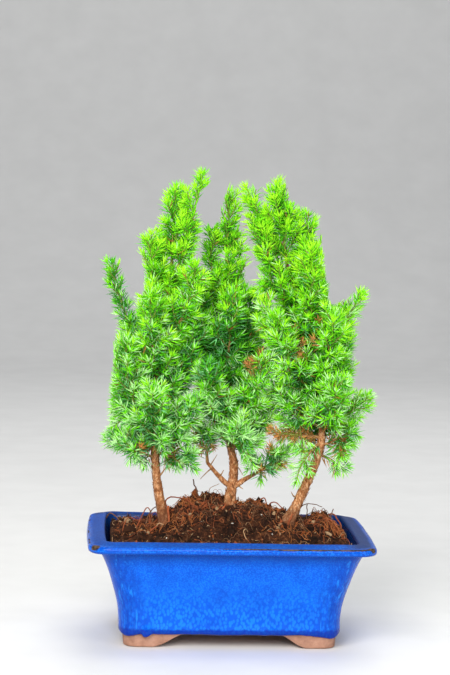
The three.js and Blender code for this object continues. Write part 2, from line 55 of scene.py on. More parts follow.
MM = 0.001
POT_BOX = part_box("pot")
CENTRE = np.array([(POT_BOX[0].x + POT_BOX[1].x) / 2, (POT_BOX[0].y + POT_BOX[1].y) / 2, 0.0])

# The photograph's viewpoint: place, turns in degrees, and focal length and longer side in pixels.
VIEW = dict(place=(-93.4, -1513.5, 335.8), yaw=3.32, pitch=4.60, roll=1.35, focal=2127, frame=675)

CLEARANCE = 0.3
POT = dict(length=200, width=150, lip_width=13, lip_corner=15, body_corner=12, body_inset=21.4, wall=7,
           floor=17)
FOOT = dict(inset=24.5, taper=1, height=10, band=14, flat_x=21, slope_x=20, left_slope=3.5, flat_y=15,
            slope_y=13)
DRAIN = dict(radius=7, offset=36)
SOIL = dict(edge=71, inset=15.5, corner=9, climb=6, middle=0.07)
# Heaps of soil: x, y, height above the soil's edge, spread.
HEAPS = [(2, 15, 18, 25), (-18, 24, 10, 16), (27, 22, 7, 18), (-46, 2, 5, 22), (48, 0, 5, 24),
         (74, 12, 10, 14), (-84, 44, 5, 16)]

# Places [x, y, z, radius] of each stem's axis; the first lies on the soil.
STEMS = {
    "left": [
        (-46, 0, 0, 4.4),
        (-48.2, -0.5, 88, 3.5),
        (-53.4, -2, 121, 3.1),
        (-54, -1, 160, 2.6),
        (-50, 0, 215, 1.8),
        (-45, 1, 262, 1.1),
    ],
    "middle": [
        (1.7, 15, 0, 4.5),
        (2.5, 15, 102, 3.6),
        (3.8, 15, 119, 3.2),
        (0.6, 16, 138, 2.7),
        (-3, 17, 180, 2.2),
        (-6, 19, 230, 1.6),
        (-5, 20, 266, 1.0),
    ],
    "right": [
        (43, -2, 0, 5),
        (48.6, -2, 93, 3.8),
        (57, -1, 113, 3.4),
        (63.5, 0, 130, 3.2),
        (66, 0, 145, 2.8),
        (62, 1, 185, 2.2),
        (50, 2, 230, 1.7),
        (38, 2, 265, 1.1),
    ],
}
# Bare boughs: the stem they leave, the height, then their own places.
BOUGHS = {
    "bough_middle_left": ("middle", 103, [(-7, 12, 112, 1.9), (-15.5, 10, 122, 1.3)]),
    "bough_middle_right": ("middle", 103, [(10, 13, 108.5, 2), (18.5, 11, 114, 1.3)]),
}

# Masses of foliage: bearing in degrees from +X towards +Y, foot, reach, top, girth and bow, as in the source.
# A mass on a limb's tip names the limb in place of its foot.
MASSES = {
    "left": {
        "leader": (0, "tip", 2, 326, 13, 0),
        "crest": (-24, 238, 27, 336, 8, 12),
        "shoulder": (210, 212, 11, 292, 11, 13),
        "spur": (178, 190, 36, 271, 9, 28),
        "bright": (-50, 205, 36, 273, 13, 30),
        "front": (-105, 180, 28, 256, 14, 25),
        "front_left": (-148, 144, 25, 218, 15, 31),
        "side": (176, 152, 18, 214, 14, 29),
        "inner": (-10, 164, 28, 236, 14, 27),
        "low_front": (-92, 134, 34, 188, 15, 33),
        "low_side": (-142, 127, 31, 144, 15, 24),
        "low_inner": (-36, 141, 34, 178, 15, 32),
        "low_tip": (180, 133, 36, 145, 12, 24),
        "droop": (-20, 131, 35, 122, 15, 20),
        "back_top": (96, 200, 24, 284, 14, 25),
        "back_left": (122, 156, 34, 226, 15, 34),
        "back_right": (52, 158, 36, 240, 15, 34),
        "back_low": (96, 130, 38, 172, 16, 32),
    },
    "middle": {
        "leader": (0, "tip", 2, 323, 12, 0),
        "left": (172, 222, 9, 295, 11, 13),
        "right": (0, 216, 4, 291, 10, 8),
        "mid_left": (190, 172, 20, 248, 13, 20),
        "mid_right": (-8, 175, 11, 255, 13, 18),
        "front": (-84, 190, 26, 252, 14, 24),
        "spray_left": (-116, 146, 46, 202, 13, 38),
        "spray_right": (-58, 152, 44, 208, 15, 36),
        "low_front": (-84, 130, 40, 158, 15, 30),
        "low_right": (-28, 137, 33, 178, 15, 28),
        "on_right_bough": (-10, "bough_middle_right", 21, 131, 16, 0),
        "on_left_bough": (-110, "bough_middle_left", 7, 153, 13, 0),
        "back_right": (50, 146, 30, 230, 15, 30),
        "back_left": (130, 153, 30, 226, 15, 30),
    },
    "right": {
        "leader": (192, "tip", 9, 328, 16, 0),
        "nodding": (178, 250, 38, 327, 9, 19),
        "left": (184, 226, 35, 302, 12, 26),
        "shoulder": (-4, 222, -3, 310, 11, 5),
        "bulge": (-14, 198, -2, 258, 13, 12),
        "spur": (2, 190, 31, 253, 10, 18),
        "side": (-20, 164, 13, 218, 15, 17),
        "spray": (4, 150, 38, 178, 10, 24),
        "low_side": (-14, 137, 25, 158, 14, 22),
        "droop_side": (-4, 131, 22, 114, 10, 17),
        "droop_front": (-132, 140, 29, 108, 10, 30),
        "front_upper": (-96, 210, 23, 286, 14, 23),
        "front_left": (-146, 172, 42, 236, 15, 40),
        "front": (-76, 182, 30, 240, 15, 28),
        "low_front": (-80, 147, 36, 196, 15, 33),
        "low_left": (-162, 150, 38, 186, 15, 32),
        "dead": (197, 143, 45, 149, 6, 22),
        "back_top": (84, 205, 25, 286, 14, 25),
        "back_right": (68, 160, 34, 236, 15, 34),
        "back_left": (132, 168, 36, 240, 15, 34),
        "back_low": (92, 136, 38, 180, 16, 34),
    },
}
BEND = dict(swing_height=0.36, tip_swing=0.12)
SEED = dict(first=17, step=7919)
STREAM = dict(factor=1664525, step=1013904223, size=2**32)

# ---------------------------------------------------------------- sizes of the finer growth

SPIRAL = 137.5  # degrees from one side shoot to the next
# Side shoots: the source's own rule, then finer ones between them, then twigs on those, and shoots on a stem.
SIDE = dict(angle=46, step=18.5, fewest=4.2, first=12, end=7.5, share=0.6, shortest=15, longest=1.55,
            lift=0.12, swing=0.06, jitter=30)
FINE = dict(angle=39, step=3.7, fewest=9, first=6, end=10, share=0.5, shortest=12, longest=1.5, lift=0.22,
            swing=0.09, jitter=60)
ON_DEAD = dict(FINE, step=4.0, shortest=5, longest=1.1, lift=0)
TWIG = dict(angle=42, step=6.2, fewest=1.8, first=4.5, end=5.5, share=0.75, shortest=7.5, longest=0.85,
            lift=0.2, swing=0.06, jitter=70)
ON_STEM = dict(angle=48, step=3.0, fewest=0, first=0, end=5, share=1.0, shortest=13, longest=24, lift=0.25,
               swing=0.08, jitter=60)
ON_STEM_FROM = dict(left=134, middle=134, right=150)
CUTS = (1, 0.8, 0.63, 0.48, 0.36)  # a shoot that finds no room is tried again this much shorter
# How far a shoot's tip may go: short of its mass's girth by some millimetres where the crown ends, further
# among other masses, and always nearer its own mass than theirs.
SPACE = dict(short=4.8, low_short=1.0, low=150, near=1.25, among=1.45, others=0.86, limb=1.0)
TAPER = dict(tip=0.4, over=1.7)  # a mass's girth at its tip, and how far below it is full, in girths
NEEDLE = dict(length=8.9, width=1.02, keel=1.0, widest=0.34, whorl=1.5, lean=50, tip_lean=24, closing=4.0,
              tip_length=0.76, sink=0.175, jitter=9, twist=30)
TRIM = dict(stem=6.0, side=4.0)  # the needles at a shoot's tip reach past it by about this much
SHOOT_RADIUS = dict(stem=1.25, side=0.65, twig=0.42, tip=0.3)
WOODY = 0.45  # the share of a mass's stem that has bark
SPARSE = ("droop_side", "droop_front")  # single hanging shoots, with needles and hardly a twig
# Shoots that close the crown where the masses' own leave it thin: mass, share of its stem, and their tips.
FILLERS = [
    ("right", "left", 0.3, [(18, -2, 256), (15, -6, 247), (20, 4, 239)]),
    ("right", "front_left", 0.6, [(16, -16, 229), (20, -10, 243)]),
    ("middle", "mid_right", 0.55, [(16, 10, 231), (14, 14, 243), (19, 6, 222)]),
    ("middle", "on_right_bough", 0.15, [(17, 2, 127), (22, 0, 111), (30, 14, 117), (13, 4, 118)]),
    ("middle", "on_right_bough", 0.5, [(43, 3, 122), (33, -6, 133), (47, 10, 134)]),
    ("right", "low_left", 0.3, [(45, -8, 137), (36, -4, 141), (52, -10, 133)]),
    ("right", "low_side", 0.35,
     [(83, -6, 132), (88, -4, 139), (77, -10, 126), (80, 6, 130), (91, -3, 145)]),
    ("left", "low_side", 0.6, [(-72, -18, 127), (-64, -20, 125)]),
    ("left", "droop", 0.4, [(-38, -8, 121), (-43, 4, 124)]),
    ("left", "side", 0.3, [(-83, -2, 168), (-84, 2, 160), (-82, -6, 175)]),
    ("middle", "on_left_bough", 0.3, [(-20, 4, 131), (-24, 10, 137), (-12, 6, 134)]),
    ("middle", "low_front", 0.5, [(10, -15, 130), (16, -16, 124), (13, -11, 136)]),
    ("right", "shoulder", 0.35, [(38, -1, 270), (35, 5, 277), (40, 2, 263), (43, -3, 273)]),
    ("left", "side", 0.12, [(-83, 0, 155), (-84, -4, 149), (-83, 4, 161)]),
]
# Gaps where the photo shows sky: heights, with the gap's left and right edge as the camera sees them
# against the pot's middle.
SKY = [
    [(301, 4, 8), (285, 5, 9), (272, 9, 13), (260, 8, 16), (252, 13, 15)],
    [(334, -17, -3), (322, -19, -5), (314, -26, -9), (306, -30, -11), (299, -20, -11), (292, -19, -17)],
    [(331, 7, 24), (323, 12, 20), (320, 15, 17)],
    [(275, -83, -67), (260, -79, -65), (248, -72, -64), (243, -70, -66)],
    [(252, 69, 89), (246, 67, 83), (240, 70, 73)],
    [(336, 34, 70), (318, 37, 70), (311, 44, 70), (307, 56, 70)],
    [(302, 60, 76), (284, 62, 76), (268, 65, 76), (258, 66, 76), (252, 71, 76)],
    [(238, -112, -92), (228, -112, -88), (216, -112, -85), (194, -112, -85), (178, -112, -88),
     (160, -112, -91)],
]
# The stretch of the middle stem that the photo shows below its crown, kept free of needles in the same way.
STEM_SHOWS = [[(139, -4, 4), (134, -7, 5), (129, -12, 5.5), (115, -13, 7)]]


# ---------------------------------------------------------------- numbers

def clip(value, low, high):
    return min(max(value, low), high)


def unit(vectors):
    vectors = np.asarray(vectors, float)
    return vectors / np.maximum(np.linalg.norm(vectors, axis=-1, keepdims=True), 1e-9)


def stream(seed):
    """The source's repeatable stream of numbers from 0 to 1."""
    state = seed

    def draw():
        nonlocal state
        state = (state * STREAM["factor"] + STREAM["step"]) % STREAM["size"]
        return state / STREAM["size"]

    return draw


CELL_HASH = dict(axes=(73856093, 19349663, 83492791), seed=2654435761, mix=1274126177, levels=0xFFFF)


def lattice(cells, seed):
    """A fixed number from -1 to 1 for each whole-numbered cell."""
    c = cells.astype(np.int64).astype(np.uint64)
    h = np.bitwise_xor.reduce(c * np.array(CELL_HASH["axes"], np.uint64), axis=-1)
    h ^= np.uint64(seed * CELL_HASH["seed"] % 2**32)
    h = (h ^ (h >> np.uint64(13))) * np.uint64(CELL_HASH["mix"])
    h ^= h >> np.uint64(16)
    return (h & np.uint64(CELL_HASH["levels"])).astype(float) / (CELL_HASH["levels"] / 2) - 1


def noise(points, size, seed=0):
    """Smooth noise from -1 to 1 with features of that size."""
    p = np.asarray(points, float) / size
    cell = np.floor(p)
    f = p - cell
    f = f * f * (3 - 2 * f)
    total = 0
    for corner in product((0, 1), repeat=3):
        x, y, z = (f[..., i] if far else 1 - f[..., i] for i, far in enumerate(corner))
        total = total + x * y * z * lattice(cell + corner, seed)
    return total


def layered(points, size, seed=0, layers=3):
    """Noise with finer, fainter noise on top."""
    return sum(noise(points, size / 2**i, seed + i) * 0.55**i for i in range(layers))


def hill(x, y, middle_x, middle_y, size):
    """A round rise of height 1, which falls to 1/e where the distance squared is that size."""
    return np.exp(-((x - middle_x) ** 2 + (y - middle_y) ** 2) / size)


def ramped(values, low, high):
    """0 below low, 1 above high, and a straight ramp between."""
    return np.clip((values - low) / (high - low), 0, 1)


# ---------------------------------------------------------------- paths

class Path:
    """A polyline with a radius at each point, read by the length along it."""

    def __init__(self, points, radii=None):
        self.points = np.asarray(points, float)
        self.radii = np.ones(len(self.points)) if radii is None else np.asarray(radii, float)
        steps = np.linalg.norm(np.diff(self.points, axis=0), axis=1)
        self.along = np.concatenate([[0], np.cumsum(steps)])
        self.span = self.along[-1]

    def at(self, s):
        return np.stack([np.interp(s, self.along, self.points[:, i]) for i in range(3)], -1)

    def radius(self, s):
        return np.interp(s, self.along, self.radii)

    def heading(self, s):
        e = self.span * 0.01
        return unit(self.at(np.minimum(s + e, self.span)) - self.at(np.maximum(s - e, 0)))


def smooth_axis(places, steps=24):
    """A centripetal spline through [x, y, z, radius] places."""
    places = np.asarray(places, float)
    p, r = places[:, :3], places[:, 3]
    p = np.vstack([2 * p[0] - p[1], p, 2 * p[-1] - p[-2]])
    points, radii = [], []
    for i in range(1, len(p) - 2):
        x0, x1, x2, x3 = p[i - 1 : i + 3]
        d0, d1, d2 = (max(np.sum((b - a) ** 2) ** 0.25, 1e-4) for a, b in ((x0, x1), (x1, x2), (x2, x3)))
        t1 = ((x1 - x0) / d0 - (x2 - x0) / (d0 + d1) + (x2 - x1) / d1) * d1
        t2 = ((x2 - x1) / d1 - (x3 - x1) / (d1 + d2) + (x3 - x2) / d2) * d1
        for k in range(steps + (i == len(p) - 3)):
            t = k / steps
            square, cube = -3 * x1 + 3 * x2 - 2 * t1 - t2, 2 * x1 - 2 * x2 + t1 + t2
            points.append(x1 + t1 * t + square * t**2 + cube * t**3)
            radii.append(r[i - 1] + (r[i] - r[i - 1]) * t)
    return Path(points, radii)


def bezier(a, b, c, steps):
    t = np.linspace(0, 1, steps + 1)[:, None]
    return Path((1 - t) ** 2 * a + 2 * t * (1 - t) * b + t**2 * c)


def across(tangent):
    """Two directions across a tangent, as the source takes them."""
    side = np.cross((0, 1, 0), tangent)
    if side @ side < 0.05:
        side = np.cross((1, 0, 0), tangent)
    side = unit(side)
    return side, unit(np.cross(tangent, side))


def heaped(x, y, heaps):
    return sum(h * hill(x, y, hx, hy, 2 * spread**2) for hx, hy, h, spread in heaps)


def soil_height(x, y, share=1.0):
    return SOIL["edge"] + heaped(x, y, HEAPS) * np.clip(np.asarray(share) * SOIL["climb"], 0, 1)


def place_at_height(path, height):
    i = int(np.argmax(path.points[:, 2] >= height))
    low, high = path.points[i - 1], path.points[i]
    return low + (high - low) * (height - low[2]) / (high[2] - low[2])


stems = {}
for stem_name, stem_places in STEMS.items():
    x0, y0, _, r0 = stem_places[0]
    foot_place = (x0, y0, float(soil_height(x0, y0)) + CLEARANCE, r0)
    stems[stem_name] = smooth_axis([foot_place] + stem_places[1:])

boughs = {}
for bough_name, (holder, foot, places) in BOUGHS.items():
    start = place_at_height(stems[holder], foot)
    boughs[bough_name] = smooth_axis([(*start, places[0][3] * 1.15)] + places)


def mass_path(tree, bearing, foot, reach, top, bow):
    """The curve that a mass's own stem follows, from its foot to its tip."""
    out = np.array([math.cos(math.radians(bearing)), math.sin(math.radians(bearing)), 0])
    if isinstance(foot, str):
        limb = stems[tree] if foot == "tip" else boughs[foot]
        end = limb.points[-1] + unit(limb.points[-1] - limb.points[-2]) * CLEARANCE
        tip = end + out * reach
        tip[2] = top
        return bezier(end, (end + tip) / 2 + out * reach * BEND["tip_swing"], tip, 48)
    start = place_at_height(stems[tree], foot)
    tip = start + out * reach
    tip[2] = top
    swing = start + out * bow
    swing[2] = foot + BEND["swing_height"] * (top - foot)
    return bezier(start, swing, tip, 48)


class Mass:
    def __init__(self, tree, name, bearing, foot, reach, top, girth, bow):
        self.tree, self.name, self.girth, self.dead = tree, name, girth, name == "dead"
        self.node = f"foliage_{tree}_{name}"
        self.path = mass_path(tree, bearing, foot, reach, top, bow)
        along = np.linspace(0, self.path.span, 18)
        self.samples = self.path.at(along)
        self.girths = girth * np.clip(TAPER["tip"] + (self.path.span - along) / (TAPER["over"] * girth), 0, 1)

    def depth(self, points):
        """How deep points lie in the mass's space: their distance from its stem, in girths."""
        d = np.linalg.norm(np.asarray(points)[:, None, :] - self.samples[None], axis=-1)
        return (d / self.girths[None]).min(1)


masses = [Mass(tree, name, *sizes) for tree, group in MASSES.items() for name, sizes in group.items()]

limbs = [*stems.values(), *boughs.values()]
limb_points, limb_radii = (
    np.concatenate([read(p, np.linspace(0, p.span, 60)) for p in limbs]) for read in (Path.at, Path.radius)
)


def gap_to_limbs(points):
    """How far points lie from the bark of the nearest stem or bough."""
    d = np.linalg.norm(np.asarray(points)[:, None, :] - limb_points[None], axis=-1) - limb_radii[None]
    return d.min(1)


# ---------------------------------------------------------------- meshes

def add(name, data):
    thing = bpy.data.objects.new(name, data)
    bpy.context.scene.collection.objects.link(thing)
    return thing


def make(name, points, faces, material, slot, nodes, smooth=True):
    """A piece from points in millimetres and faces of equally many corners, riding on the root."""
    points, faces = np.asarray(points, float), np.asarray(faces, np.int32)
    count, corners = faces.shape
    mesh = bpy.data.meshes.new(name)
    mesh.vertices.add(len(points))
    mesh.vertices.foreach_set("co", (points * MM + CENTRE).astype(np.float32).ravel())
    mesh.loops.add(count * corners)
    mesh.loops.foreach_set("vertex_index", faces.ravel())
    mesh.polygons.add(count)
    mesh.polygons.foreach_set("loop_start", np.arange(0, count * corners, corners, dtype=np.int32))
    mesh.polygons.foreach_set("use_smooth", np.full(count, smooth))
    mesh.update(calc_edges=True)
    mesh.validate()
    mesh.materials.append(material)
    piece = add(name, mesh)
    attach(piece, "root")
    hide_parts(*nodes)
    return piece


def grid_faces(rows, columns):
    """Quads between rows of points, each row's last point joined to its first."""
    c = np.arange(columns)[None]
    d = (c + 1) % columns
    a = np.arange(rows - 1)[:, None] * columns
    return np.stack([a + c, a + d, a + d + columns, a + c + columns], -1).reshape(-1, 4)


def halved(quads):
    """Two triangles for each quad."""
    return np.vstack([quads[:, [0, 1, 2]], quads[:, [0, 2, 3]]])


def repeated(faces, count, points_each):
    """The faces of one form again for each of many copies, whose points follow one another."""
    return (faces[None] + (np.arange(count) * points_each)[:, None, None]).reshape(-1, faces.shape[1])


def sideways(tangents, main=None):
    """Two directions across each tangent, turned off the y axis unless the path runs along it."""
    main = tangents if main is None else main
    helper = np.where(np.abs(main[..., 1:2]) < 0.8, (0, 1, 0), (1, 0, 0))
    u = unit(np.cross(helper, tangents))
    return u, np.cross(tangents, u)


def angles_round(count):
    return np.arange(count) / count * 2 * np.pi


def spokes(u, v, count):
    """Evenly turned directions round each place."""
    angle = angles_round(count)[:, None]
    return u[..., None, :] * np.cos(angle) + v[..., None, :] * np.sin(angle)


def tubes(paths, radii, sides):
    """Tubes round many paths of equally many points: paths (n, m, 3), radii (n, m)."""
    paths, radii = np.asarray(paths, float), np.asarray(radii, float)
    n, m, _ = paths.shape
    tangents = unit(np.gradient(paths, axis=1))
    ring = spokes(*sideways(tangents, unit(tangents.mean(1))[:, None]), sides)
    points = (paths[:, :, None] + ring * radii[:, :, None, None]).reshape(-1, 3)
    return points, repeated(grid_faces(m, sides), n, m * sides)


def join(parts):
    """Points and faces of several parts as one."""
    points, faces, start = [], [], 0
    for p, f in parts:
        points.append(p)
        faces.append(np.asarray(f) + start)
        start += len(p)
    return np.concatenate(points), np.concatenate(faces)


# ---------------------------------------------------------------- materials

class Shader:
    """A Principled material and short ways to add nodes to it."""

    def __init__(self, name, roughness, specular=0.5):
        self.material = bpy.data.materials.new(name)
        self.material.use_nodes = True
        self.tree = self.material.node_tree
        self.main = self.tree.nodes["Principled BSDF"]
        self.main.inputs["Roughness"].default_value = roughness
        self.main.inputs["Specular IOR Level"].default_value = specular
        self.place = self.tree.nodes.new("ShaderNodeTexCoord").outputs["Object"]

    def node(self, kind, inputs=(), **settings):
        node = self.tree.nodes.new(kind)
        for key, value in settings.items():
            setattr(node, key, value)
        for key, value in dict(inputs).items():
            if isinstance(value, bpy.types.NodeSocket):
                self.tree.links.new(value, node.inputs[key])
            else:
                node.inputs[key].default_value = value
        return node

    def stretched(self, scale):
        return self.node("ShaderNodeMapping", {"Vector": self.place, "Scale": scale}).outputs["Vector"]

    def noise(self, size, detail=4, roughness=0.6, vector=None, distortion=0.0):
        """Noise whose features are about that many millimetres."""
        return self.node(
            "ShaderNodeTexNoise",
            {"Vector": vector or self.place, "Scale": 1 / (size * MM), "Detail": detail,
             "Roughness": roughness, "Distortion": distortion},
        ).outputs["Fac"]

    def spots(self, size, low, high, vector=None):
        """White spots about that far apart on black, fading out between two distances from their middles."""
        inputs = {"Vector": vector or self.place, "Scale": 1 / (size * MM), "Smoothness": 0.15}
        node = self.node("ShaderNodeTexVoronoi", inputs, feature="SMOOTH_F1")
        return self.ramp(node.outputs["Distance"], [(low, (1, 1, 1)), (high, (0, 0, 0))])

    def ramp(self, value, stops):
        node = self.node("ShaderNodeValToRGB", {"Fac": value})
        elements = node.color_ramp.elements
        while len(elements) < len(stops):
            elements.new(0.5)
        for element, (position, colour) in zip(elements, stops):
            element.position = position
            element.color = (*colour, 1)
        return node.outputs["Color"]

    def between(self, value, low, high, to_low=0.0, to_high=1.0):
        return self.node(
            "ShaderNodeMapRange",
            {"Value": value, "From Min": low, "From Max": high, "To Min": to_low, "To Max": to_high},
        ).outputs["Result"]

    def maths(self, operation, a, b):
        return self.node("ShaderNodeMath", {0: a, 1: b}, operation=operation).outputs["Value"]

    def times(self, a, b):
        return self.maths("MULTIPLY", a, b)

    def plus(self, a, b):
        return self.maths("ADD", a, b)

    def mix(self, share, a, b):
        node = self.node("ShaderNodeMix", data_type="RGBA")
        for index, value in ((0, share), (6, a), (7, b)):
            if isinstance(value, bpy.types.NodeSocket):
                self.tree.links.new(value, node.inputs[index])
            else:
                node.inputs[index].default_value = (*value, 1) if isinstance(value, tuple) else value
        return node.outputs[2]

    def attribute(self, name):
        return self.node("ShaderNodeAttribute", attribute_name=name).outputs["Fac"]

    def height(self):
        """Height above the ground in millimetres."""
        z = self.node("ShaderNodeSeparateXYZ", {"Vector": self.place}).outputs["Z"]
        return self.times(z, 1 / MM)

    def set(self, socket, value):
        self.tree.links.new(value, self.main.inputs[socket])

    def bump(self, height, depth, strength=1.0):
        """Raises the surface by up to that many millimetres."""
        node = self.node("ShaderNodeBump", {"Height": height, "Distance": depth * MM, "Strength": strength})
        self.set("Normal", node.outputs["Normal"])


def glaze_material():
    """Blue glaze: pale cells parted by deeper lines, larger and longer low down; dark where it runs thick.
    Painted shade darkens it under the lip and down the lip's inner side, and a painted dark reflection lies
    on top of the lip.
    """
    s = Shader("glaze", 0.17, 0.17)
    z = s.height()
    coarse = s.spots(1.9, 0.36, 0.66, s.stretched((1, 1, 0.68)))
    lowness = s.between(z, 54, 24)
    cells = s.mix(lowness, s.spots(1.1, 0.26, 0.66), coarse)
    cells = s.mix(s.between(z, 69.8, 70.4), cells, s.spots(1.6, 0.3, 0.6))
    cells = s.node("ShaderNodeRGBToBW", {"Color": cells}).outputs["Val"]
    clouds = s.noise(15, 3)
    mottle = s.times(cells, s.between(clouds, 0.3, 0.6, 0.5, 1.0))
    corner = s.attribute("corner")
    streaks = s.between(s.noise(2.4, 3, vector=s.stretched((1, 1, 0.12))), 0.4, 0.6)
    pale_runs = s.between(s.noise(3.1, 2, vector=s.stretched((1, 1, 0.1))), 0.58, 0.68)
    lower_edge = s.between(s.plus(z, s.times(s.noise(5, 2), 4.0)), 16.0, 14.4)
    blue = s.mix(s.between(clouds, 0.3, 0.7), (0.0008, 0.070, 0.51), (0.001, 0.095, 0.64))
    # Each layer over the blue: where it shows, and its colour.
    layers = [
        (s.times(mottle, s.between(lowness, 0, 1, 0.6, 0.8)), (0.006, 0.190, 0.76)),  # pale cells
        (s.times(s.times(s.between(z, 58, 69), s.between(z, 71.4, 70.2)), 0.62), (0.001, 0.04, 0.27)),  # painted shade under the lip
        (s.times(s.between(z, 70.2, 71.4), s.between(mottle, 0, 0.8, 0.5, 0.1)), (0.001, 0.050, 0.32)),  # lip
        (s.times(s.between(z, 73.8, 74.9), 0.2), (0.001, 0.028, 0.15)),  # painted dark reflection on top of the lip
        (s.times(s.attribute("painted_shade"), 0.8), (0.0008, 0.012, 0.055)),  # painted shade and dark reflection on the lip's top and inner side
        (s.times(corner, s.between(streaks, 0, 1, 0.25, 0.8)), (0.0008, 0.042, 0.36)),  # dark streaks
        (s.times(s.times(corner, pale_runs), 0.55), (0.012, 0.27, 0.84)),  # pale runs
        (s.times(lower_edge, 0.8), (0.0008, 0.018, 0.26)),  # where it gathers
    ]
    for share, colour in layers:
        blue = s.mix(share, blue, colour)
    grit = s.noise(1.6, 5)
    worn = s.between(s.plus(s.attribute("wear"), s.times(grit, 0.5)), 0.62, 0.74)
    clay = s.ramp(s.noise(2.5, 4), [(0.4, (0.016, 0.011, 0.010)), (0.62, (0.12, 0.075, 0.045))])
    s.set("Base Color", s.mix(worn, blue, clay))
    dull = s.plus(s.times(worn, 0.35), s.times(s.between(z, 73.9, 74.7), 0.36))
    s.set("Roughness", s.plus(s.plus(dull, 0.10), s.times(grit, 0.08)))
    relief = s.plus(s.times(s.noise(5, 3), 0.7), s.times(mottle, 0.2))
    s.bump(s.plus(relief, s.times(s.times(corner, streaks), 0.8)), 0.3, 0.5)
    return s.material


def clay_material():
    s = Shader("bare_clay", 0.82)
    speck, cloud = s.noise(0.8, 5, 0.7), s.noise(7, 4)
    stops = [(0.3, (0.27, 0.128, 0.078)), (0.55, (0.39, 0.198, 0.128)), (0.75, (0.47, 0.262, 0.178))]
    s.set("Base Color", s.mix(s.between(speck, 0.62, 0.72), s.ramp(cloud, stops), (0.18, 0.080, 0.046)))
    s.bump(s.plus(speck, s.times(cloud, 0.6)), 0.3, 0.6)
    return s.material


def bark_material(name, stops, groove):
    """Long plates parted by cracks, redder and darker near the ground."""
    s = Shader(name, 0.88, 0.2)
    long = s.stretched((1, 1, 0.5))
    plates, cloud = s.noise(1.5, 5, 0.7, long, 0.5), s.noise(7, 3)
    colour = s.ramp(s.plus(s.times(plates, 0.85), s.times(cloud, 0.22)), stops)
    cracks = s.between(s.noise(1.0, 4, 0.7, long, 0.4), 0.38, 0.45, 1.0, 0.0)
    low = s.between(s.plus(s.height(), s.times(cloud, 14.0)), 89, 105, 0.72, 0.0)
    colour = s.mix(low, colour, (0.090, 0.025, 0.013))
    s.set("Base Color", s.mix(s.times(cracks, 0.75), colour, groove))
    s.bump(s.maths("SUBTRACT", plates, s.times(cracks, 0.4)), 0.45, 0.7)
    return s.material


def earth_material(name, stops, depth=0.5, patches=0.0):
    """Grainy earth or root; patches is how far its darker patches go towards near black."""
    s = Shader(name, 0.95, 0.15)
    grain, cloud = s.noise(1.6, 6, 0.7), s.noise(8, 3)
    colour = s.ramp(s.plus(s.times(grain, 0.7), s.times(cloud, 0.35)), stops)
    if patches:
        colour = s.mix(s.between(s.noise(13, 3), 0.47, 0.6, 0, patches), colour, (0.006, 0.003, 0.002))
    s.set("Base Color", colour)
    s.bump(grain, depth, 0.8)
    return s.material


def two_tone(kind, depths, tones, patches=()):
    """Earth materials by name, each between its darker and its lighter colour."""
    return {
        name: earth_material(f"{kind}_{name}", [(0.3, dark), (0.7, light)], depths.get(name, depths["other"]),
                             0.7 if name in patches else 0.0)
        for name, (dark, light) in tones.items()
    }


def needle_material(name, colour, roughness):
    """A plain colour with a fine grain of lighter and darker wax along the needles."""
    s = Shader(name, roughness, 0.22)
    grain = s.noise(2.2, 3, 0.6)
    darker = tuple(c * 0.78 for c in colour)
    lighter = tuple(min(1.0, c * 1.15 + 0.012) for c in colour)
    s.set("Base Color", s.ramp(grain, [(0.35, darker), (0.5, colour), (0.66, lighter)]))
    s.set("Roughness", s.between(grain, 0.3, 0.7, roughness - 0.08, roughness + 0.1))
    s.bump(s.noise(0.5, 2), 0.06, 0.4)
    return s.material


GLAZE = glaze_material()
CLAY = clay_material()
BARK = bark_material(
    "bark",
    [(0.36, (0.13, 0.040, 0.014)), (0.48, (0.33, 0.120, 0.042)), (0.58, (0.55, 0.250, 0.105)),
     (0.68, (0.80, 0.52, 0.30))],
    (0.085, 0.026, 0.009),
)
TWIG_BARK = bark_material(
    "twig_bark", [(0.3, (0.16, 0.070, 0.025)), (0.5, (0.36, 0.18, 0.065)), (0.7, (0.50, 0.30, 0.12))],
    (0.12, 0.05, 0.02),
)
GREEN_WOOD = bark_material(
    "green_wood", [(0.3, (0.10, 0.16, 0.025)), (0.5, (0.20, 0.30, 0.045)), (0.7, (0.34, 0.34, 0.09))],
    (0.16, 0.10, 0.03),
)
EARTH = earth_material(
    "earth",
    [(0.38, (0.004, 0.0015, 0.001)), (0.49, (0.024, 0.008, 0.004)), (0.6, (0.085, 0.028, 0.011)),
     (0.72, (0.23, 0.095, 0.040))],
    patches=0.75,
)
CRUMBS = two_tone("crumb", {"pale": 0.2, "other": 0.5}, {
    "dark": ((0.012, 0.005, 0.003), (0.080, 0.030, 0.014)),
    "red": ((0.10, 0.024, 0.008), (0.34, 0.095, 0.030)),
    "tan": ((0.17, 0.095, 0.045), (0.44, 0.29, 0.16)),
    "pale": ((0.52, 0.46, 0.38), (0.85, 0.82, 0.74)),
}, patches=("dark",))
ROOTS = two_tone("root", {"other": 0.15}, {
    "red": ((0.13, 0.026, 0.014), (0.42, 0.120, 0.045)),
    "brown": ((0.06, 0.026, 0.014), (0.24, 0.115, 0.060)),
    "orange": ((0.26, 0.070, 0.020), (0.58, 0.21, 0.070)),
    "tan": ((0.27, 0.13, 0.060), (0.56, 0.35, 0.19)),
})
# Each kind of needle, with its colour and roughness.
NEEDLES = {
    name: needle_material(f"needle_{name}", colour, roughness)
    for name, colour, roughness in (
        ("lime", (0.42, 0.90, 0.020), 0.42),
        ("fresh", (0.24, 0.76, 0.012), 0.42),
        ("green", (0.105, 0.52, 0.010), 0.42),
        ("deep", (0.036, 0.26, 0.012), 0.42),
        ("pale", (0.52, 0.86, 0.36), 0.55),
        ("blue", (0.19, 0.56, 0.20), 0.5),
        ("brown", (0.40, 0.19, 0.045), 0.6),
        ("rust", (0.72, 0.34, 0.10), 0.6),
    )
}

# ---------------------------------------------------------------- pot

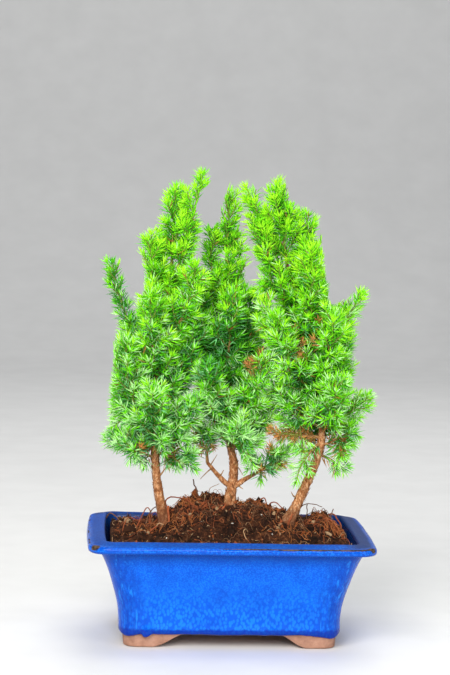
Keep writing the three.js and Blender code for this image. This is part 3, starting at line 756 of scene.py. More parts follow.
# The glazed wall's section as (inset, height), from the glaze's lower edge up and down again inside.
LOWER_EDGE = [(27.5, 9.9), (25.6, 9.3), (24.0, 9.2), (22.8, 9.9), (22.1, 11.3)]
BODY = [(21.9, 13.2), (21.7, 19), (20.7, 29), (17.2, 43), (11.5, 61), (8.3, 68.6)]
UNDER_LIP = [(7.6, 69.6), (5.6, 69.9), (3.2, 69.6), (1.4, 69.5)]
LIP = [(0.45, 69.9), (0.05, 70.8), (0.0, 72.0), (0.12, 73.0), (0.5, 73.8), (1.3, 74.3), (2.5, 74.6),
       (5, 75.1), (8, 75.8), (10.4, 76.4), (11.7, 76.5), (12.6, 76.0), (13.1, 74.8), (13.4, 72)]
INSIDE = [(14.3, 68.5), (16.5, 60), (20, 48), (25, 36)]
DRIP = dict(x=-58, y=-54, size=11, out=1.8, down=2.5)
CORNER_SPAN = 30  # how much of a side its two corners take up, for the spacing of points
HALF_WIDTH = POT["width"] / 2


def rounded_outline(inset, corner, step=2.0, corner_steps=14):
    """Points round a rectangle with round corners, seen from above and turning left."""
    half = np.array([POT["length"], POT["width"]]) / 2 - inset - corner
    across_x, across_y = (round((POT[side] - CORNER_SPAN) / step) for side in ("length", "width"))
    arcs = []
    for quarter, signs in enumerate(((1, -1), (1, 1), (-1, 1), (-1, -1))):
        angles = (quarter - 1 + np.arange(corner_steps + 1) / corner_steps) * math.pi / 2
        arcs.append(half * signs + corner * np.c_[np.cos(angles), np.sin(angles)])
    points = []
    for arc, after, count in zip(arcs, arcs[1:] + arcs[:1], (across_y, across_x) * 2):
        share = np.arange(1, count)[:, None] / count
        points += [arc, arc[-1] + (after[0] - arc[-1]) * share]
    return np.vstack(points)


def wall_rings(profile, lip_from):
    """Rings of points round the pot, one for each place of its section."""
    rings = []
    for index, (inset, z) in enumerate(profile):
        corner = POT["body_corner"] + inset / 12
        if index >= lip_from:
            corner = max(5.0, POT["lip_corner"] - inset * 0.62) if inset < POT["lip_width"] else 8.0
        ring = rounded_outline(inset, corner)
        rings.append(np.c_[ring, np.full(len(ring), z)])
    return np.array(rings)


def glazed_pot():
    body = smooth_axis([(inset, 0, z, 1) for inset, z in BODY], 8).points[:, [0, 2]]
    outside = [*LOWER_EDGE, *body, *UNDER_LIP]
    profile = np.array([*outside, *LIP, *INSIDE])
    inset, level = profile[:, :1], profile[:, 1:]
    points = wall_rings(profile, len(outside))
    plan = points * (1, 1, 0)
    outward = unit(points[..., :2])
    x, y, z = np.moveaxis(points, -1, 0)  # these follow as the points are moved
    # The glaze runs to an uneven, beaded lower edge, hangs lower at the corners and drips at one place.
    edge = ramped(z, 17, 11)
    bead = layered(plan, 16, 3) * 0.55 + layered(plan, 5, 5) * 0.3
    corner_run = hill(np.abs(x), np.abs(y), 71, 49, 45)
    points[..., :2] += outward * (edge * (0.35 + bead * 0.6 + corner_run * 0.9))[..., None]
    z += np.where(edge > 0.5, bead * 0.8 - corner_run * 1.9, 0)
    from_drip = ((x - DRIP["x"]) ** 2 + (y - DRIP["y"]) ** 2) / DRIP["size"]
    drip = np.exp(-(from_drip**2)) * edge
    points[..., :2] += outward * (drip * DRIP["out"])[..., None]
    z -= drip * DRIP["down"]
    # The hand-made walls and lip are a little wavy, and the short sides bow out towards the lip.
    wave = layered(points, 34, 8, 2) * 0.35
    points[..., :2] += outward * (wave * ramped(z, 12, 22) * (z < 69))[..., None]
    z += np.where(z > 69.2, noise(plan, 45, 12) * 0.35 + noise(plan, 12, 13) * 0.1, 0)
    bow = ramped(z, 56, 69) * (1.7 - 2.2 * (y / HALF_WIDTH) ** 2) * ramped(np.abs(x), 60, 85)
    x += np.sign(x) * bow
    # Where the glaze is rubbed off the lip's edge and its two front corners.
    on_edge = np.exp(-(((inset - 1.3) / 0.9) ** 2)) * (level > 73) * (inset < 4)
    round_edge = np.exp(-(((inset - 1.2) / 2.4) ** 2)) * (level > 71) * (inset < 7)
    corners = hill(x, y, -95, -69, 22) + hill(x, y, 96, -68, 16)
    front = ramped(x, -25, 15) * (y < -70) * 0.8 + 0.2 * (y < -60)
    left = 0.35 * np.exp(-((x + 98) ** 2) / 30) * (noise(plan, 9, 21) > 0.1)
    rubbed = front + left + 0.3 * (np.abs(x) > 96) + 0.3 * (y > 70)
    wear = on_edge * np.clip(rubbed + noise(plan, 7, 22) * 0.25, 0, 1.1)
    wear = np.maximum(wear, round_edge * corners * 0.85)
    # How near each place is to a corner of the body, where the glaze runs in streaks.
    from_corner = np.hypot(np.abs(x) - 84 + inset * 0.6, np.abs(y) - 62 + inset * 0.6)
    corner = np.clip(1.5 - from_corner / 11, 0, 1) * (z < 68)
    # Painted dark reflection on top of the lip, faint all round, more at the left and strong at the right and
    # the back; painted shade down its inner side.
    on_top = ramped(inset, 2.2, 3.7) * (np.arange(len(profile)) >= len(outside))[:, None]
    painted_shade = 0.1 + ramped(x, 76, 86) * 0.85 + ramped(x, -80, -90) * 0.25
    painted_shade = on_top * np.clip(painted_shade + ramped(y, 52, 60) * 0.65 + (inset > 12.8) * 0.7, 0, 1)
    faces = grid_faces(*points.shape[:2])
    piece = make("pot_glaze", points.reshape(-1, 3), faces, GLAZE, "glazed_clay", ["pot"])
    for name, numbers in (("wear", wear), ("corner", corner), ("painted_shade", painted_shade)):
        values = piece.data.attributes.new(name, "FLOAT", "POINT")
        values.data.foreach_set("value", numbers.astype(np.float32).ravel())


def clay_below(p):
    """Height of the clay's lower face: 0 where a foot stands, sloping up between the feet."""
    half_x, half_y = POT["length"] / 2 - FOOT["inset"], HALF_WIDTH - FOOT["inset"]
    x, y = np.abs(p).T
    past_x = (half_x - FOOT["flat_x"] - x) / (FOOT["slope_x"] + np.where(p[:, 0] < 0, FOOT["left_slope"], 0))
    past_y = (half_y - FOOT["flat_y"] - y) / FOOT["slope_y"]
    along_x, along_y = y > half_y - FOOT["band"] - 1, x > half_x - FOOT["band"] - 1
    rise = np.clip(np.maximum(np.where(along_x, past_x, -1), np.where(along_y, past_y, -1)), 0, 1)
    return FOOT["height"] * (rise - 0.06 * np.sin(rise * math.pi * 2))


def pot_feet():
    """The bare clay under the pot: its four feet as one band that sinks and rises."""
    outline = rounded_outline(FOOT["inset"], POT["body_corner"] - 2, 1.2)
    inner = rounded_outline(FOOT["inset"] + FOOT["band"], 3, 1.2)
    low, top = clay_below(outline), FOOT["height"] + 0.6
    rise = top - low
    rings = [
        (outline * (1 - FOOT["taper"] * (1 - share) / HALF_WIDTH), low + rise * share)
        for share in (1.0, 0.66, 0.33, 0.1)
    ]
    rings += [
        (outline * (1 - 1.0 / HALF_WIDTH), low + np.minimum(0.35, rise * 0.05)),
        (outline * (1 - 1.7 / HALF_WIDTH), low),
        ((outline + inner) / 2, low),
        (inner * (1 + 0.9 / 60), low),
        (inner, low + np.minimum(0.8, rise * 0.1)),
        (inner, np.full(len(inner), top - 0.4)),
    ]
    points = np.array([np.c_[ring, heights] for ring, heights in rings])
    height = points[..., 2]
    rough = layered(points, 4, 31) * 0.22
    height[height < 0.02] = 0
    points[..., :2] += unit(points[..., :2]) * (rough * (height > 0.3))[..., None]
    make("pot_feet", points.reshape(-1, 3), grid_faces(*points.shape[:2]), CLAY, "bare_clay", ["pot"])


def pot_underside():
    """The bare clay between the feet, with the walls of its two drain holes."""
    level = FOOT["height"] - 0.15
    circle = angles_round(28)
    hole = np.c_[np.cos(circle), np.sin(circle)] * DRAIN["radius"]
    holes = [hole + (side * DRAIN["offset"], 0) for side in (-1, 1)]
    loops = [rounded_outline(FOOT["inset"] + 1, 9, 6), *(ring[::-1] for ring in holes)]
    flat = [[Vector((x, y, level)) for x, y in loop] for loop in loops]
    plate = np.array([tuple(v) for loop in flat for v in loop]), np.array(tessellate_polygon(flat))
    walls = []
    for ring in holes:
        rims = [np.c_[ring, np.full(len(ring), z)] for z in (level, POT["floor"] + 0.4)]
        walls.append((np.vstack(rims), halved(grid_faces(2, len(ring)))))
    make("pot_underside", *join([plate, *walls]), CLAY, "bare_clay", ["pot"], smooth=False)


# ---------------------------------------------------------------- soil

# Where the soil has settled or is heaped up by its fibres, in the same way as HEAPS.
SETTLED = [(10, 16, -6.5, 8), (-9, 18, -4, 8), (24, 18, -2.5, 8), (-37, 14, 4.5, 10), (38, -7, -5, 7),
           (-46, -8, -2, 6)]
SOIL_HALF = np.array([POT["length"], POT["width"]]) / 2 - SOIL["inset"]
LITTER_HALF = SOIL_HALF - 1  # how far crumbs and threads of root lie from the middle


def ground_relief(x, y):
    p = np.stack([x, y, np.zeros_like(x)], -1)
    relief = layered(p, 11, 41) * 3.1 + layered(p, 4.2, 43, 2) * 1.3 + layered(p, 1.6, 45, 2) * 0.5
    return relief + heaped(x, y, SETTLED)


def soil_share(x, y):
    """How far in from the wall a place lies, from 0 at the wall to 1 in the middle."""
    scale = np.maximum(np.abs(x) / SOIL_HALF[0], np.abs(y) / SOIL_HALF[1])
    return np.clip((1 - scale) / (1 - SOIL["middle"]), 0, 1)


def ground(x, y):
    """Height of the soil at those places."""
    share = soil_share(x, y)
    return soil_height(x, y, share) + ground_relief(x, y) * np.clip(share * 14, 0.15, 1)


def soil_bed():
    outline = rounded_outline(SOIL["inset"], SOIL["corner"], 2.2, 8)
    inner = POT["body_inset"] + POT["wall"] + CLEARANCE
    rows = []
    for inset, corner, z in ((inner + 3, 7, POT["floor"] + CLEARANCE), (inner, 8, POT["floor"] + 6),
                             (POT["lip_width"] + 2.1, 8, SOIL["edge"] - 3)):
        rows.append(np.c_[rounded_outline(inset, corner, 2.2, 8), np.full(len(outline), z)])
    for share in np.linspace(0, 1, 74):
        ring = outline * (1 - (1 - SOIL["middle"]) * share)
        x, y = ring.T
        rows.append(np.c_[ring, soil_height(x, y, share) + ground_relief(x, y) * min(1, 0.15 + share * 14)])
    count, columns = len(rows), len(outline)
    points = np.vstack([*rows, rows[0].mean(0), rows[-1].mean(0)])
    ring, middle = np.arange(columns), np.full(columns, count * columns)
    after, last = (ring + 1) % columns, (count - 1) * columns
    fans = [np.c_[after, ring, middle], np.c_[last + ring, last + after, middle + 1]]
    make("soil_bed", points, np.vstack([halved(grid_faces(count, columns)), *fans]), EARTH, "soil", ["soil"])


# A solid of twenty faces.
GOLDEN = (1 + 5**0.5) / 2
ICO = unit(np.array([
    np.roll((0, s, t * GOLDEN), turn) for turn in (0, 2, 1) for s, t in product((-1, 1), repeat=2)
]))
ICO_EDGE = min(np.linalg.norm(ICO[0] - p) for p in ICO[1:]) * 1.05
ICO_FACES = np.array([
    (a, b, c) if np.dot(np.cross(ICO[b] - ICO[a], ICO[c] - ICO[a]), ICO[a]) > 0 else (a, c, b)
    for a, b, c in combinations(range(12), 3)
    if max(np.linalg.norm(ICO[i] - ICO[j]) for i, j in ((a, b), (b, c), (a, c))) < ICO_EDGE
])
# Crumbs on the soil: count, share crowded on the heaps, size.
CRUMB_KINDS = {
    "dark": (1350, 0.3, 1.0),
    "red": (520, 0.7, 0.85),
    "tan": (230, 0.15, 0.75),
    "pale": (52, 0.1, 0.55),
}


def turns(random, count):
    """Random turns, as (count, 3, 3) matrices."""
    w, x, y, z = unit(random.normal(size=(count, 4))).T
    return np.stack([
        np.stack([1 - 2 * (y * y + z * z), 2 * (x * y - w * z), 2 * (x * z + w * y)], -1),
        np.stack([2 * (x * y + w * z), 1 - 2 * (x * x + z * z), 2 * (y * z - w * x)], -1),
        np.stack([2 * (x * z - w * y), 2 * (y * z + w * x), 1 - 2 * (x * x + y * y)], -1),
    ], -2)


def scattered(random, count, crowding):
    """Places over the soil, some of them crowded on the heaps."""
    x, y = (random.uniform(-half, half, count) for half in LITTER_HALF)
    heap = np.array(HEAPS[:3] + HEAPS[5:6])[random.integers(0, 4, count)]
    near = random.random(count) < crowding
    on_heap = [
        np.clip(heap[:, i] + random.normal(size=count) * heap[:, 3] * 0.8, -half, half)
        for i, half in enumerate(LITTER_HALF)
    ]
    x, y = np.where(near, on_heap[0], x), np.where(near, on_heap[1], y)
    inside = soil_share(x, y) > 0.01
    return x[inside], y[inside]


def crumbs():
    random = np.random.default_rng(51)
    for kind, (count, crowding, size) in CRUMB_KINDS.items():
        x, y = scattered(random, count, crowding)
        n = len(x)
        radius = size * np.exp(random.normal(size=n) * 0.5)
        shape = ICO[None] * random.uniform(0.62, 1.12, (n, 12, 1))
        stretch = random.uniform(0.35, 1.0, (n, 1, 3))
        stretch[:, :, 0] = random.uniform(0.9, 1.9, (n, 1))
        shape = np.einsum("nij,nkj->nki", turns(random, n), shape * stretch) * radius[:, None, None]
        middle = np.stack([x, y, ground(x, y) + radius * 0.25], -1)
        points = (shape + middle[:, None]).reshape(-1, 3)
        faces = repeated(ICO_FACES, n, 12)
        make(f"soil_crumbs_{kind}", points, faces, CRUMBS[kind], "soil", ["soil"], smooth=False)


# Roots and dry twigs that stand out of the soil: kind, radius, places.
STRANDS = [
    ("red", 0.5, [(-44.5, 3, 90), (-45.6, 4, 94), (-42.5, 8, 96.7), (-36.2, 12, 95.9), (-30.9, 15, 94.8),
                  (-28.4, 17, 95.4), (-26.8, 14, 91.6), (-26.1, 8, 87.6), (-27.6, 4, 81)]),
    ("red", 0.4, [(-76, -1, 73), (-74.5, 0, 78.3), (-72.6, 4, 81.6), (-70.2, 6, 82), (-64.5, 8, 79),
                  (-61, 9, 76)]),
    ("red", 0.5, [(-66, 4, 75), (-63.9, 6, 79.6), (-61.4, 8, 84.7), (-58.4, 10, 88.7), (-56.5, 10, 86.1),
                  (-57, 8, 81.8), (-56, 6, 76)]),
    ("brown", 0.5, [(-59, 8, 76), (-57.8, 8, 83), (-55, 8, 87.6), (-51.7, 6, 90), (-48.6, 2.5, 90.5)]),
    ("red", 0.35, [(-56, 9, 77), (-54.9, 10, 84), (-52.7, 10, 85.5), (-50.6, 8, 84.4), (-49, 6, 78)]),
    ("brown", 0.75, [(-20.5, 24, 88), (-21.8, 24, 97.6), (-23.2, 24, 102), (-25.2, 23, 107.7)]),
    ("brown", 0.6, [(-17, 24, 90), (-18.5, 24, 96), (-17.5, 23.5, 99)]),
    ("tan", 0.3, [(-14, 24, 91), (-13.6, 24, 97.7), (-12.9, 24, 100.7), (-11.3, 23, 102.4),
                  (-5.8, 20, 105.5)]),
    ("red", 0.6, [(-33, 16, 87), (-30.3, 14, 94.2), (-26.1, 10, 91.7), (-20.4, 6, 88.5), (-15.8, 0, 83)]),
    ("red", 0.55, [(-22, 17, 91), (-20.1, 14, 92.4), (-17.3, 10, 89.6), (-13.9, 2, 84)]),
    ("red", 0.5, [(-36, 12, 82), (-33, 8, 88), (-29, 5, 86), (-27, 0, 79)]),
    ("brown", 0.45, [(50, 4, 76), (52.1, 6, 90), (54.9, 6, 93.1), (59.3, 6, 93.8), (68.5, 6, 91.9)]),
    ("brown", 0.35, [(57.4, 6, 93.4), (57.1, 6, 87.1), (56, 6, 75)]),
    ("brown", 0.6, [(75, 10, 79), (75.2, 10, 85.1), (76.6, 10, 89.5)]),
    ("tan", 0.4, [(4, 12, 86), (5.6, 12, 91.5), (9.8, 12, 93.9), (14.7, 12, 90.5), (17, 10, 84)]),
    ("red", 0.5, [(28, 16, 84), (31.7, 16, 92.5), (35.7, 14, 92.9), (41.1, 10, 87), (43, 8, 78)]),
    ("red", 0.6, [(20, 18, 85), (23, 17, 93), (27, 17, 96), (29, 15, 88)]),
    ("red", 1.0, [(-44, -2.5, 92), (-43, -3.5, 83.5), (-42.6, -5, 75)]),
    ("red", 1.1, [(46.5, -4.5, 90), (42.6, -7.2, 81.1), (39.5, -9, 75)]),
    ("red", 0.9, [(38.5, -3, 83), (35, -4, 78), (30, -6, 75.5), (27, -7, 73)]),
    ("tan", 0.5, [(-52, -8.5, 78), (-50.6, -9, 80.2), (-47.4, -10, 79.6), (-43.7, -9, 77.6), (-42, -8, 75)]),
    ("red", 0.7, [(-50, -6, 79), (-55, -12, 76.5), (-60, -20, 73.6), (-66, -26, 71)]),
    ("red", 0.7, [(-45, -6, 78), (-41, -14, 76), (-36, -24, 73.4), (-33, -31, 70)]),
    ("brown", 0.8, [(4, 8, 92), (8, 2, 84), (13, -6, 77), (18, -14, 71)]),
    ("red", 0.7, [(-2, 9, 92), (-7, 2, 84.5), (-11, -8, 77), (-14, -18, 71)]),
    ("red", 0.6, [(66, 10, 80), (72, 4, 83), (79, 0, 78), (82, -4, 71)]),
    ("red", 0.6, [(70, 18, 82), (77, 16, 85), (82, 10, 79), (83, 4, 71)]),
    ("brown", 0.5, [(-88, 46, 74), (-85, 40, 79), (-80, 36, 77), (-76, 32, 72)]),
    ("tan", 0.45, [(13, -22, 77), (10, -27, 80), (9, -31, 78), (12, -35, 72)]),
]
# Tufts of root fibres: x, y, spread, count.
TUFTS = [
    (74, 10, 6, 90), (66, 4, 7, 60), (78, 2, 5, 60), (60, 16, 6, 30), (-27, 14, 7, 70), (-22, 6, 6, 40),
    (28, 14, 7, 70), (24, 0, 8, 30), (-58, -4, 8, 50), (-50, 6, 7, 40), (-36, -6, 9, 40), (-12, 0, 8, 20),
    (40, -22, 12, 40), (-60, 26, 9, 40), (10, 30, 10, 40), (56, 30, 10, 20),
]
# Dry stubs and bare twigs on the stems: places, from the bark outwards, and radius at the foot.
STUBS = [
    (0.75, [(-51.3, -2.5, 113), (-49.1, -3.4, 115.3), (-45.4, -5, 121.5)]),
    (0.6, [(-53, -3, 119), (-52.2, -4.6, 124), (-51.6, -5.5, 128)]),
    (0.7, [(-8.0, 12, 112.5), (-5.6, 9.5, 113.6), (-3.8, 8, 117.2)]),
    (0.55, [(-12.2, 10.5, 118), (-15, 6, 116.6), (-18.2, 3.4, 113.8), (-21.1, 1, 111.2)]),
    (0.5, [(-13.6, 10.2, 120), (-12, 8, 123), (-9, 6, 128.5)]),
    (0.7, [(6.6, 13.6, 106), (8.4, 11.6, 104.6), (10.6, 9.8, 103.2)]),
    (0.45, [(4.0, 12.6, 122), (7.4, 11, 118), (10.5, 9.6, 113)]),
    (0.7, [(3.0, 12.2, 96), (1.6, 9.6, 98), (0.8, 7.8, 101)]),
    (0.6, [(47.4, -4.4, 100), (45.6, -6.6, 101.6), (44.0, -8, 104.5)]),
    (0.7, [(62.8, -2.4, 128), (60.6, -5, 130.4), (59.4, -7, 134)]),
    (0.6, [(-49.5, 2.4, 98), (-49.9, 5.2, 100), (-50.2, 7.2, 104)]),
    (0.7, [(58.5, 1.8, 117), (60.6, 4.6, 119), (62, 6.4, 123)]),
]


# Threads of root over the soil: kind, count, share crowded on the heaps, radius.
THREADS = [("red", 330, 0.75, 0.26), ("brown", 260, 0.4, 0.24), ("tan", 110, 0.3, 0.2)]
TUFT_HALF = (84, 59)
# How single strands and stubs are made: steps between places, rings and sides, taper, roughness and wobble.
ROOT_FORM = dict(steps=8, rings=26, sides=7, foot=1.05, thinner=0.5, rough=0.18, grain=2.2, seed=64,
                 wobble=(0.45, 0.45, 0.3))
STUB_FORM = dict(steps=6, rings=14, sides=8, foot=1.15, thinner=0.85, rough=0.15, grain=1.4, seed=91,
                 wobble=(0, 0, 0))


def strand(radius, places, form):
    """One rough tube through those places, thinner towards its end."""
    path = smooth_axis([(*p, radius) for p in places], form["steps"])
    s = np.linspace(0, path.span, form["rings"])
    line = path.at(s)
    taper = radius * (form["foot"] - form["thinner"] * s / path.span)
    taper = taper * (1 + form["rough"] * noise(line, form["grain"], form["seed"]))
    line = line + layered(line, 4, 63, 2)[:, None] * form["wobble"]
    return tubes(line[None], taper[None], form["sides"])


def fibres(x, y, heading, step, rise, taper, half):
    """Thin threads from x, y on, with a heading, a step and a rise over the soil at each point."""
    px = np.clip(x[:, None] + np.cumsum(np.cos(heading) * step, 1), -half[0], half[0])
    py = np.clip(y[:, None] + np.cumsum(np.sin(heading) * step, 1), -half[1], half[1])
    return tubes(np.stack([px, py, ground(px, py) + rise - 0.1], -1), taper, 3)


def threads(random, count, crowding, radius):
    """Fine threads of root that lie over the soil in low arcs."""
    x, y = scattered(random, count, crowding)
    n, share = len(x), np.linspace(0, 1, 9)[None]
    heading = random.uniform(0, 2 * np.pi, (n, 1))
    length = random.uniform(4, 15, (n, 1))
    heading = heading + random.normal(size=(n, 1)) * 0.9 * share * 2
    arch = random.uniform(0.2, 1.0, (n, 1)) * np.where(random.random((n, 1)) < 0.22, 3.4, 1.0)
    taper = radius * random.uniform(0.7, 1.5, (n, 1)) * (1.1 - 0.7 * share)
    return fibres(x, y, heading, length / 8, arch * np.sin(share * np.pi) * 1.6, taper, LITTER_HALF)


def tuft(random, middle_x, middle_y, spread, count):
    """Fine fibres that stand out of a heap."""
    x = middle_x + random.normal(size=count) * spread
    y = middle_y + random.normal(size=count) * spread * 0.8
    share = np.linspace(0, 1, 8)[None]
    heading = random.uniform(0, 2 * np.pi, (count, 1))
    heading = heading + random.normal(size=(count, 1)) * 0.8 * share * 2
    step = random.uniform(3.5, 10, (count, 1)) / 7 * (share > 0)
    rise = random.uniform(0.3, 4.2, (count, 1)) * np.sin(share * random.uniform(1.6, 3.1, (count, 1)))
    taper = random.uniform(0.15, 0.3, (count, 1)) * (1.1 - 0.7 * share)
    return fibres(x, y, heading, step, rise, taper, TUFT_HALF)


def strands():
    random = np.random.default_rng(61)
    groups = {kind: [] for kind in ROOTS}
    for kind, radius, places in STRANDS:
        groups[kind].append(strand(radius, places, ROOT_FORM))
    for kind, *numbers in THREADS:
        groups[kind].append(threads(random, *numbers))
    for index, numbers in enumerate(TUFTS):
        groups[("orange", "red", "orange", "brown")[index % 4]].append(tuft(random, *numbers))
    for kind, parts in groups.items():
        make(f"soil_roots_{kind}", *join(parts), ROOTS[kind], "root", ["soil"])


# ---------------------------------------------------------------- stems and boughs

STEM_NODES = [f"stem_{name}" for name in stems]


def bark_mesh(path, seed, flare=0.0, sides=44, step=0.55, sink=0.0):
    """A limb raised into flat, torn strips of bark; sink drives its first ring into the soil."""
    rows = int(path.span / step)
    s = np.linspace(0, path.span, rows)
    centre, radius = path.at(s), path.radius(s)[:, None]
    wander = layered(centre, 22, seed + 9, 2)[:, None] * (0.32, 0.32, 0) * np.minimum(1, s / 12)[:, None]
    ring = spokes(*sideways(path.heading(s)), sides)
    skin = (centre + wander)[:, None] + ring * radius[:, None] * 0.94
    plates = np.clip(layered(skin * (1, 1, 0.24), 1.7, seed, 3) * 2.4, -1, 1)
    shreds = np.clip(layered(skin * (1, 1, 0.4), 0.9, seed + 4, 2) * 1.6, -1, 1)
    knots = np.clip(noise(skin, 6.5, seed + 7) - 0.45, 0, 1) * 1.1
    raised = (plates * 0.24 + shreds * 0.13 + knots * 0.8) * (radius / 4).clip(0.4, 1.2)
    foot = np.exp(-s / 4.5)[:, None] * flare
    raised = raised + radius * foot * (0.75 + 0.5 * np.cos(3 * angles_round(sides) + seed)[None])
    points = (skin + ring * raised[..., None]).reshape(-1, 3)
    points[:sides, 2] -= sink
    return points, grid_faces(rows, sides)


def stem_pieces():
    for index, (name, path) in enumerate(stems.items()):
        skin = bark_mesh(path, 70 + index, flare=0.05, sink=9.0)
        make(f"bark_{name}", *skin, BARK, "bark", [f"stem_{name}"])
    for index, (name, path) in enumerate(boughs.items()):
        make(f"bark_{name}", *bark_mesh(path, 80 + index, sides=28, step=0.45), BARK, "bark", [name])
    stubs = [strand(radius, places, STUB_FORM) for radius, places in STUBS]
    make("bare_twigs", *join(stubs), TWIG_BARK, "bark", STEM_NODES)


def flakes():
    """Thin curls of bark that lift from the stems."""
    random = np.random.default_rng(95)
    parts, count = [], 190
    for path in stems.values():
        s = random.uniform(1, min(path.span, 62), count)
        centre, radius, tangent = path.at(s), path.radius(s), path.heading(s)
        u, v = sideways(tangent)
        angle = random.uniform(0, 2 * np.pi, count)[:, None]
        out = u * np.cos(angle) + v * np.sin(angle)
        side = np.cross(tangent, out)
        along = tangent * np.where(random.random(count) < 0.5, 1, -1)[:, None]
        along = along + side * random.normal(size=(count, 1)) * 0.25
        length, width, lift = (
            random.uniform(low, high, count)[:, None] for low, high in ((1.2, 3.6), (0.25, 0.7), (0.15, 0.9))
        )
        foot = centre + out * (radius[:, None] + 0.05)
        bend = foot + along * length * 0.6 + out * lift * 0.35
        tip = foot + along * length + out * lift
        quad = [foot - side * width, foot + side * width, bend + side * width * 0.9,
                bend - side * width * 0.9, tip + side * width * 0.25, tip - side * width * 0.25]
        start = np.arange(count)[:, None] * 6
        faces = np.concatenate([start + (0, 1, 2, 3), start + (3, 2, 4, 5)])
        parts.append((np.stack(quad, 1).reshape(-1, 3), faces))
    make("bark_flakes", *join(parts), BARK, "bark", STEM_NODES, smooth=False)


# ---------------------------------------------------------------- foliage

class Shoot:
    def __init__(self, mass, path, level, bare, foot_radius, tip_radius=SHOOT_RADIUS["tip"], brown=False):
        self.mass, self.path, self.level, self.bare = mass, path, level, bare
        self.foot_radius, self.tip_radius, self.brown = foot_radius, tip_radius, brown


def side_paths(path, girth, draw, rule):
    """Side shoots that leave a path in a spiral, by the source's rule, shorter towards its tip."""
    found = []
    turn = draw() * 360
    step = min(rule["step"], path.span / rule["fewest"]) if rule["fewest"] else rule["step"]
    angle = math.radians(rule["angle"])
    s = rule["first"]
    while s < path.span - rule["end"]:
        start, tangent = path.at(s), path.heading(s)
        u, v = across(tangent)
        out = u * math.cos(math.radians(turn)) + v * math.sin(math.radians(turn))
        longest = max(rule["shortest"], girth * rule["longest"])
        length = clip((path.span - s) * rule["share"], rule["shortest"], longest)
        length = min(length, (path.span - s) * 0.8 + 1)
        heading = tangent * math.cos(angle) + out * math.sin(angle)
        tip = start + heading * length
        tip[2] += length * rule["lift"]
        swing = start + heading * length / 2 + out * length * rule["swing"]
        found.append(bezier(start, swing, tip, 10))
        turn += SPIRAL + (draw() - 0.5) * rule["jitter"]
        s += step
    return found


def shortened(path, amount, points=11):
    """The path without its last stretch."""
    return Path(path.at(np.linspace(0, max(path.span - amount, path.span * 0.5), points)))


def in_sky(points, margin=0.0, gaps=SKY):
    """Which points lie in a gap of the crown, as the camera sees them."""
    p = np.asarray(points, float)
    eye = np.array(VIEW["place"])
    seen = p + (eye - p) * (p[:, 1] / (p[:, 1] - eye[1]))[:, None]
    found = np.zeros(len(p), bool)
    for gap in gaps:
        heights, left, right = np.array(gap[::-1], float).T
        x, z = seen[:, 0], seen[:, 2]
        inside = (x > np.interp(z, heights, left) + margin) & (x < np.interp(z, heights, right) - margin)
        found |= inside & (z > heights[0]) & (z < heights[-1])
    return found


def in_space(mass, tips):
    """Which shoots keep to their mass's space, clear of other masses, of the limbs and of the sky."""
    tips = np.asarray(tips)
    own = mass.depth(tips)
    others = np.min([other.depth(tips) for other in masses if other is not mass], axis=0)
    short = np.where(tips[:, 2] < SPACE["low"], SPACE["low_short"], min(SPACE["short"], 0.4 * mass.girth))
    fine = own <= np.where(others < SPACE["near"], SPACE["among"], 1 - short / mass.girth)
    fine &= others > own * SPACE["others"]
    return fine & (gap_to_limbs(tips) > SPACE["limb"]) & ~in_sky(tips)


def fitted(mass, paths):
    """Those paths, each cut back until its tip has room; one that never has is left out."""
    found = [None] * len(paths)
    for cut in CUTS:
        left = [i for i, path in enumerate(found) if path is None]
        if not left:
            break
        tips = [paths[i].at(paths[i].span * cut) for i in left]
        for i, ok in zip(left, in_space(mass, tips)):
            if ok:
                found[i] = Path(paths[i].at(np.linspace(0, paths[i].span * cut, 11)))
    return [path for path in found if path is not None]


def with_twigs(mass, paths, draw, free=False):
    """Shoots for those paths, with the twigs that fit on them, or all of their twigs."""
    shoots = [Shoot(mass, path, 1, min(2.0, path.span * 0.2), SHOOT_RADIUS["side"]) for path in paths]
    twigs = [twig for path in paths if path.span > 8.5 for twig in side_paths(path, mass.girth, draw, TWIG)]
    if twigs:
        kept = twigs if free else fitted(mass, twigs)
        shoots += [Shoot(mass, path, 2, 0.8, SHOOT_RADIUS["twig"]) for path in kept]
    return shoots


def fillers():
    """The shoots of FILLERS, with all of their twigs."""
    shoots = []
    for index, (tree, name, share, tips) in enumerate(FILLERS):
        mass = next(m for m in masses if (m.tree, m.name) == (tree, name))
        draw = stream((index + 2 * len(masses)) * SEED["step"] + SEED["first"])
        for number, tip in enumerate(tips):
            start = mass.path.at(mass.path.span * (share + 0.06 * number))
            swing = start + (np.array(tip) - start) * 0.5 + (0, 0, 3)
            shoots += with_twigs(mass, [bezier(start, swing, np.array(tip, float), 12)], draw, free=True)
    return shoots


def grow_on_stem(tree, index):
    """Shoots on a stem inside the crown, each given to the mass whose space it ends in."""
    stem, shoots = stems[tree], []
    foot = float(np.interp(ON_STEM_FROM[tree], stem.points[:, 2], stem.along))
    crown = Path(stem.at(np.linspace(foot, stem.span, 80)))
    draw = stream((index + len(masses)) * SEED["step"] + SEED["first"])
    own = [m for m in masses if m.tree == tree and not m.dead]
    for path in side_paths(crown, 1, draw, ON_STEM):
        path = shortened(path, path.span * 0.45 * draw())
        depths = [float(m.depth(path.points[-1:])[0]) for m in own]
        nearest = int(np.argmin(depths))
        if depths[nearest] < 1.5 and not in_sky(path.points[-1:])[0]:
            shoots += with_twigs(own[nearest], [path], draw)
    return shoots


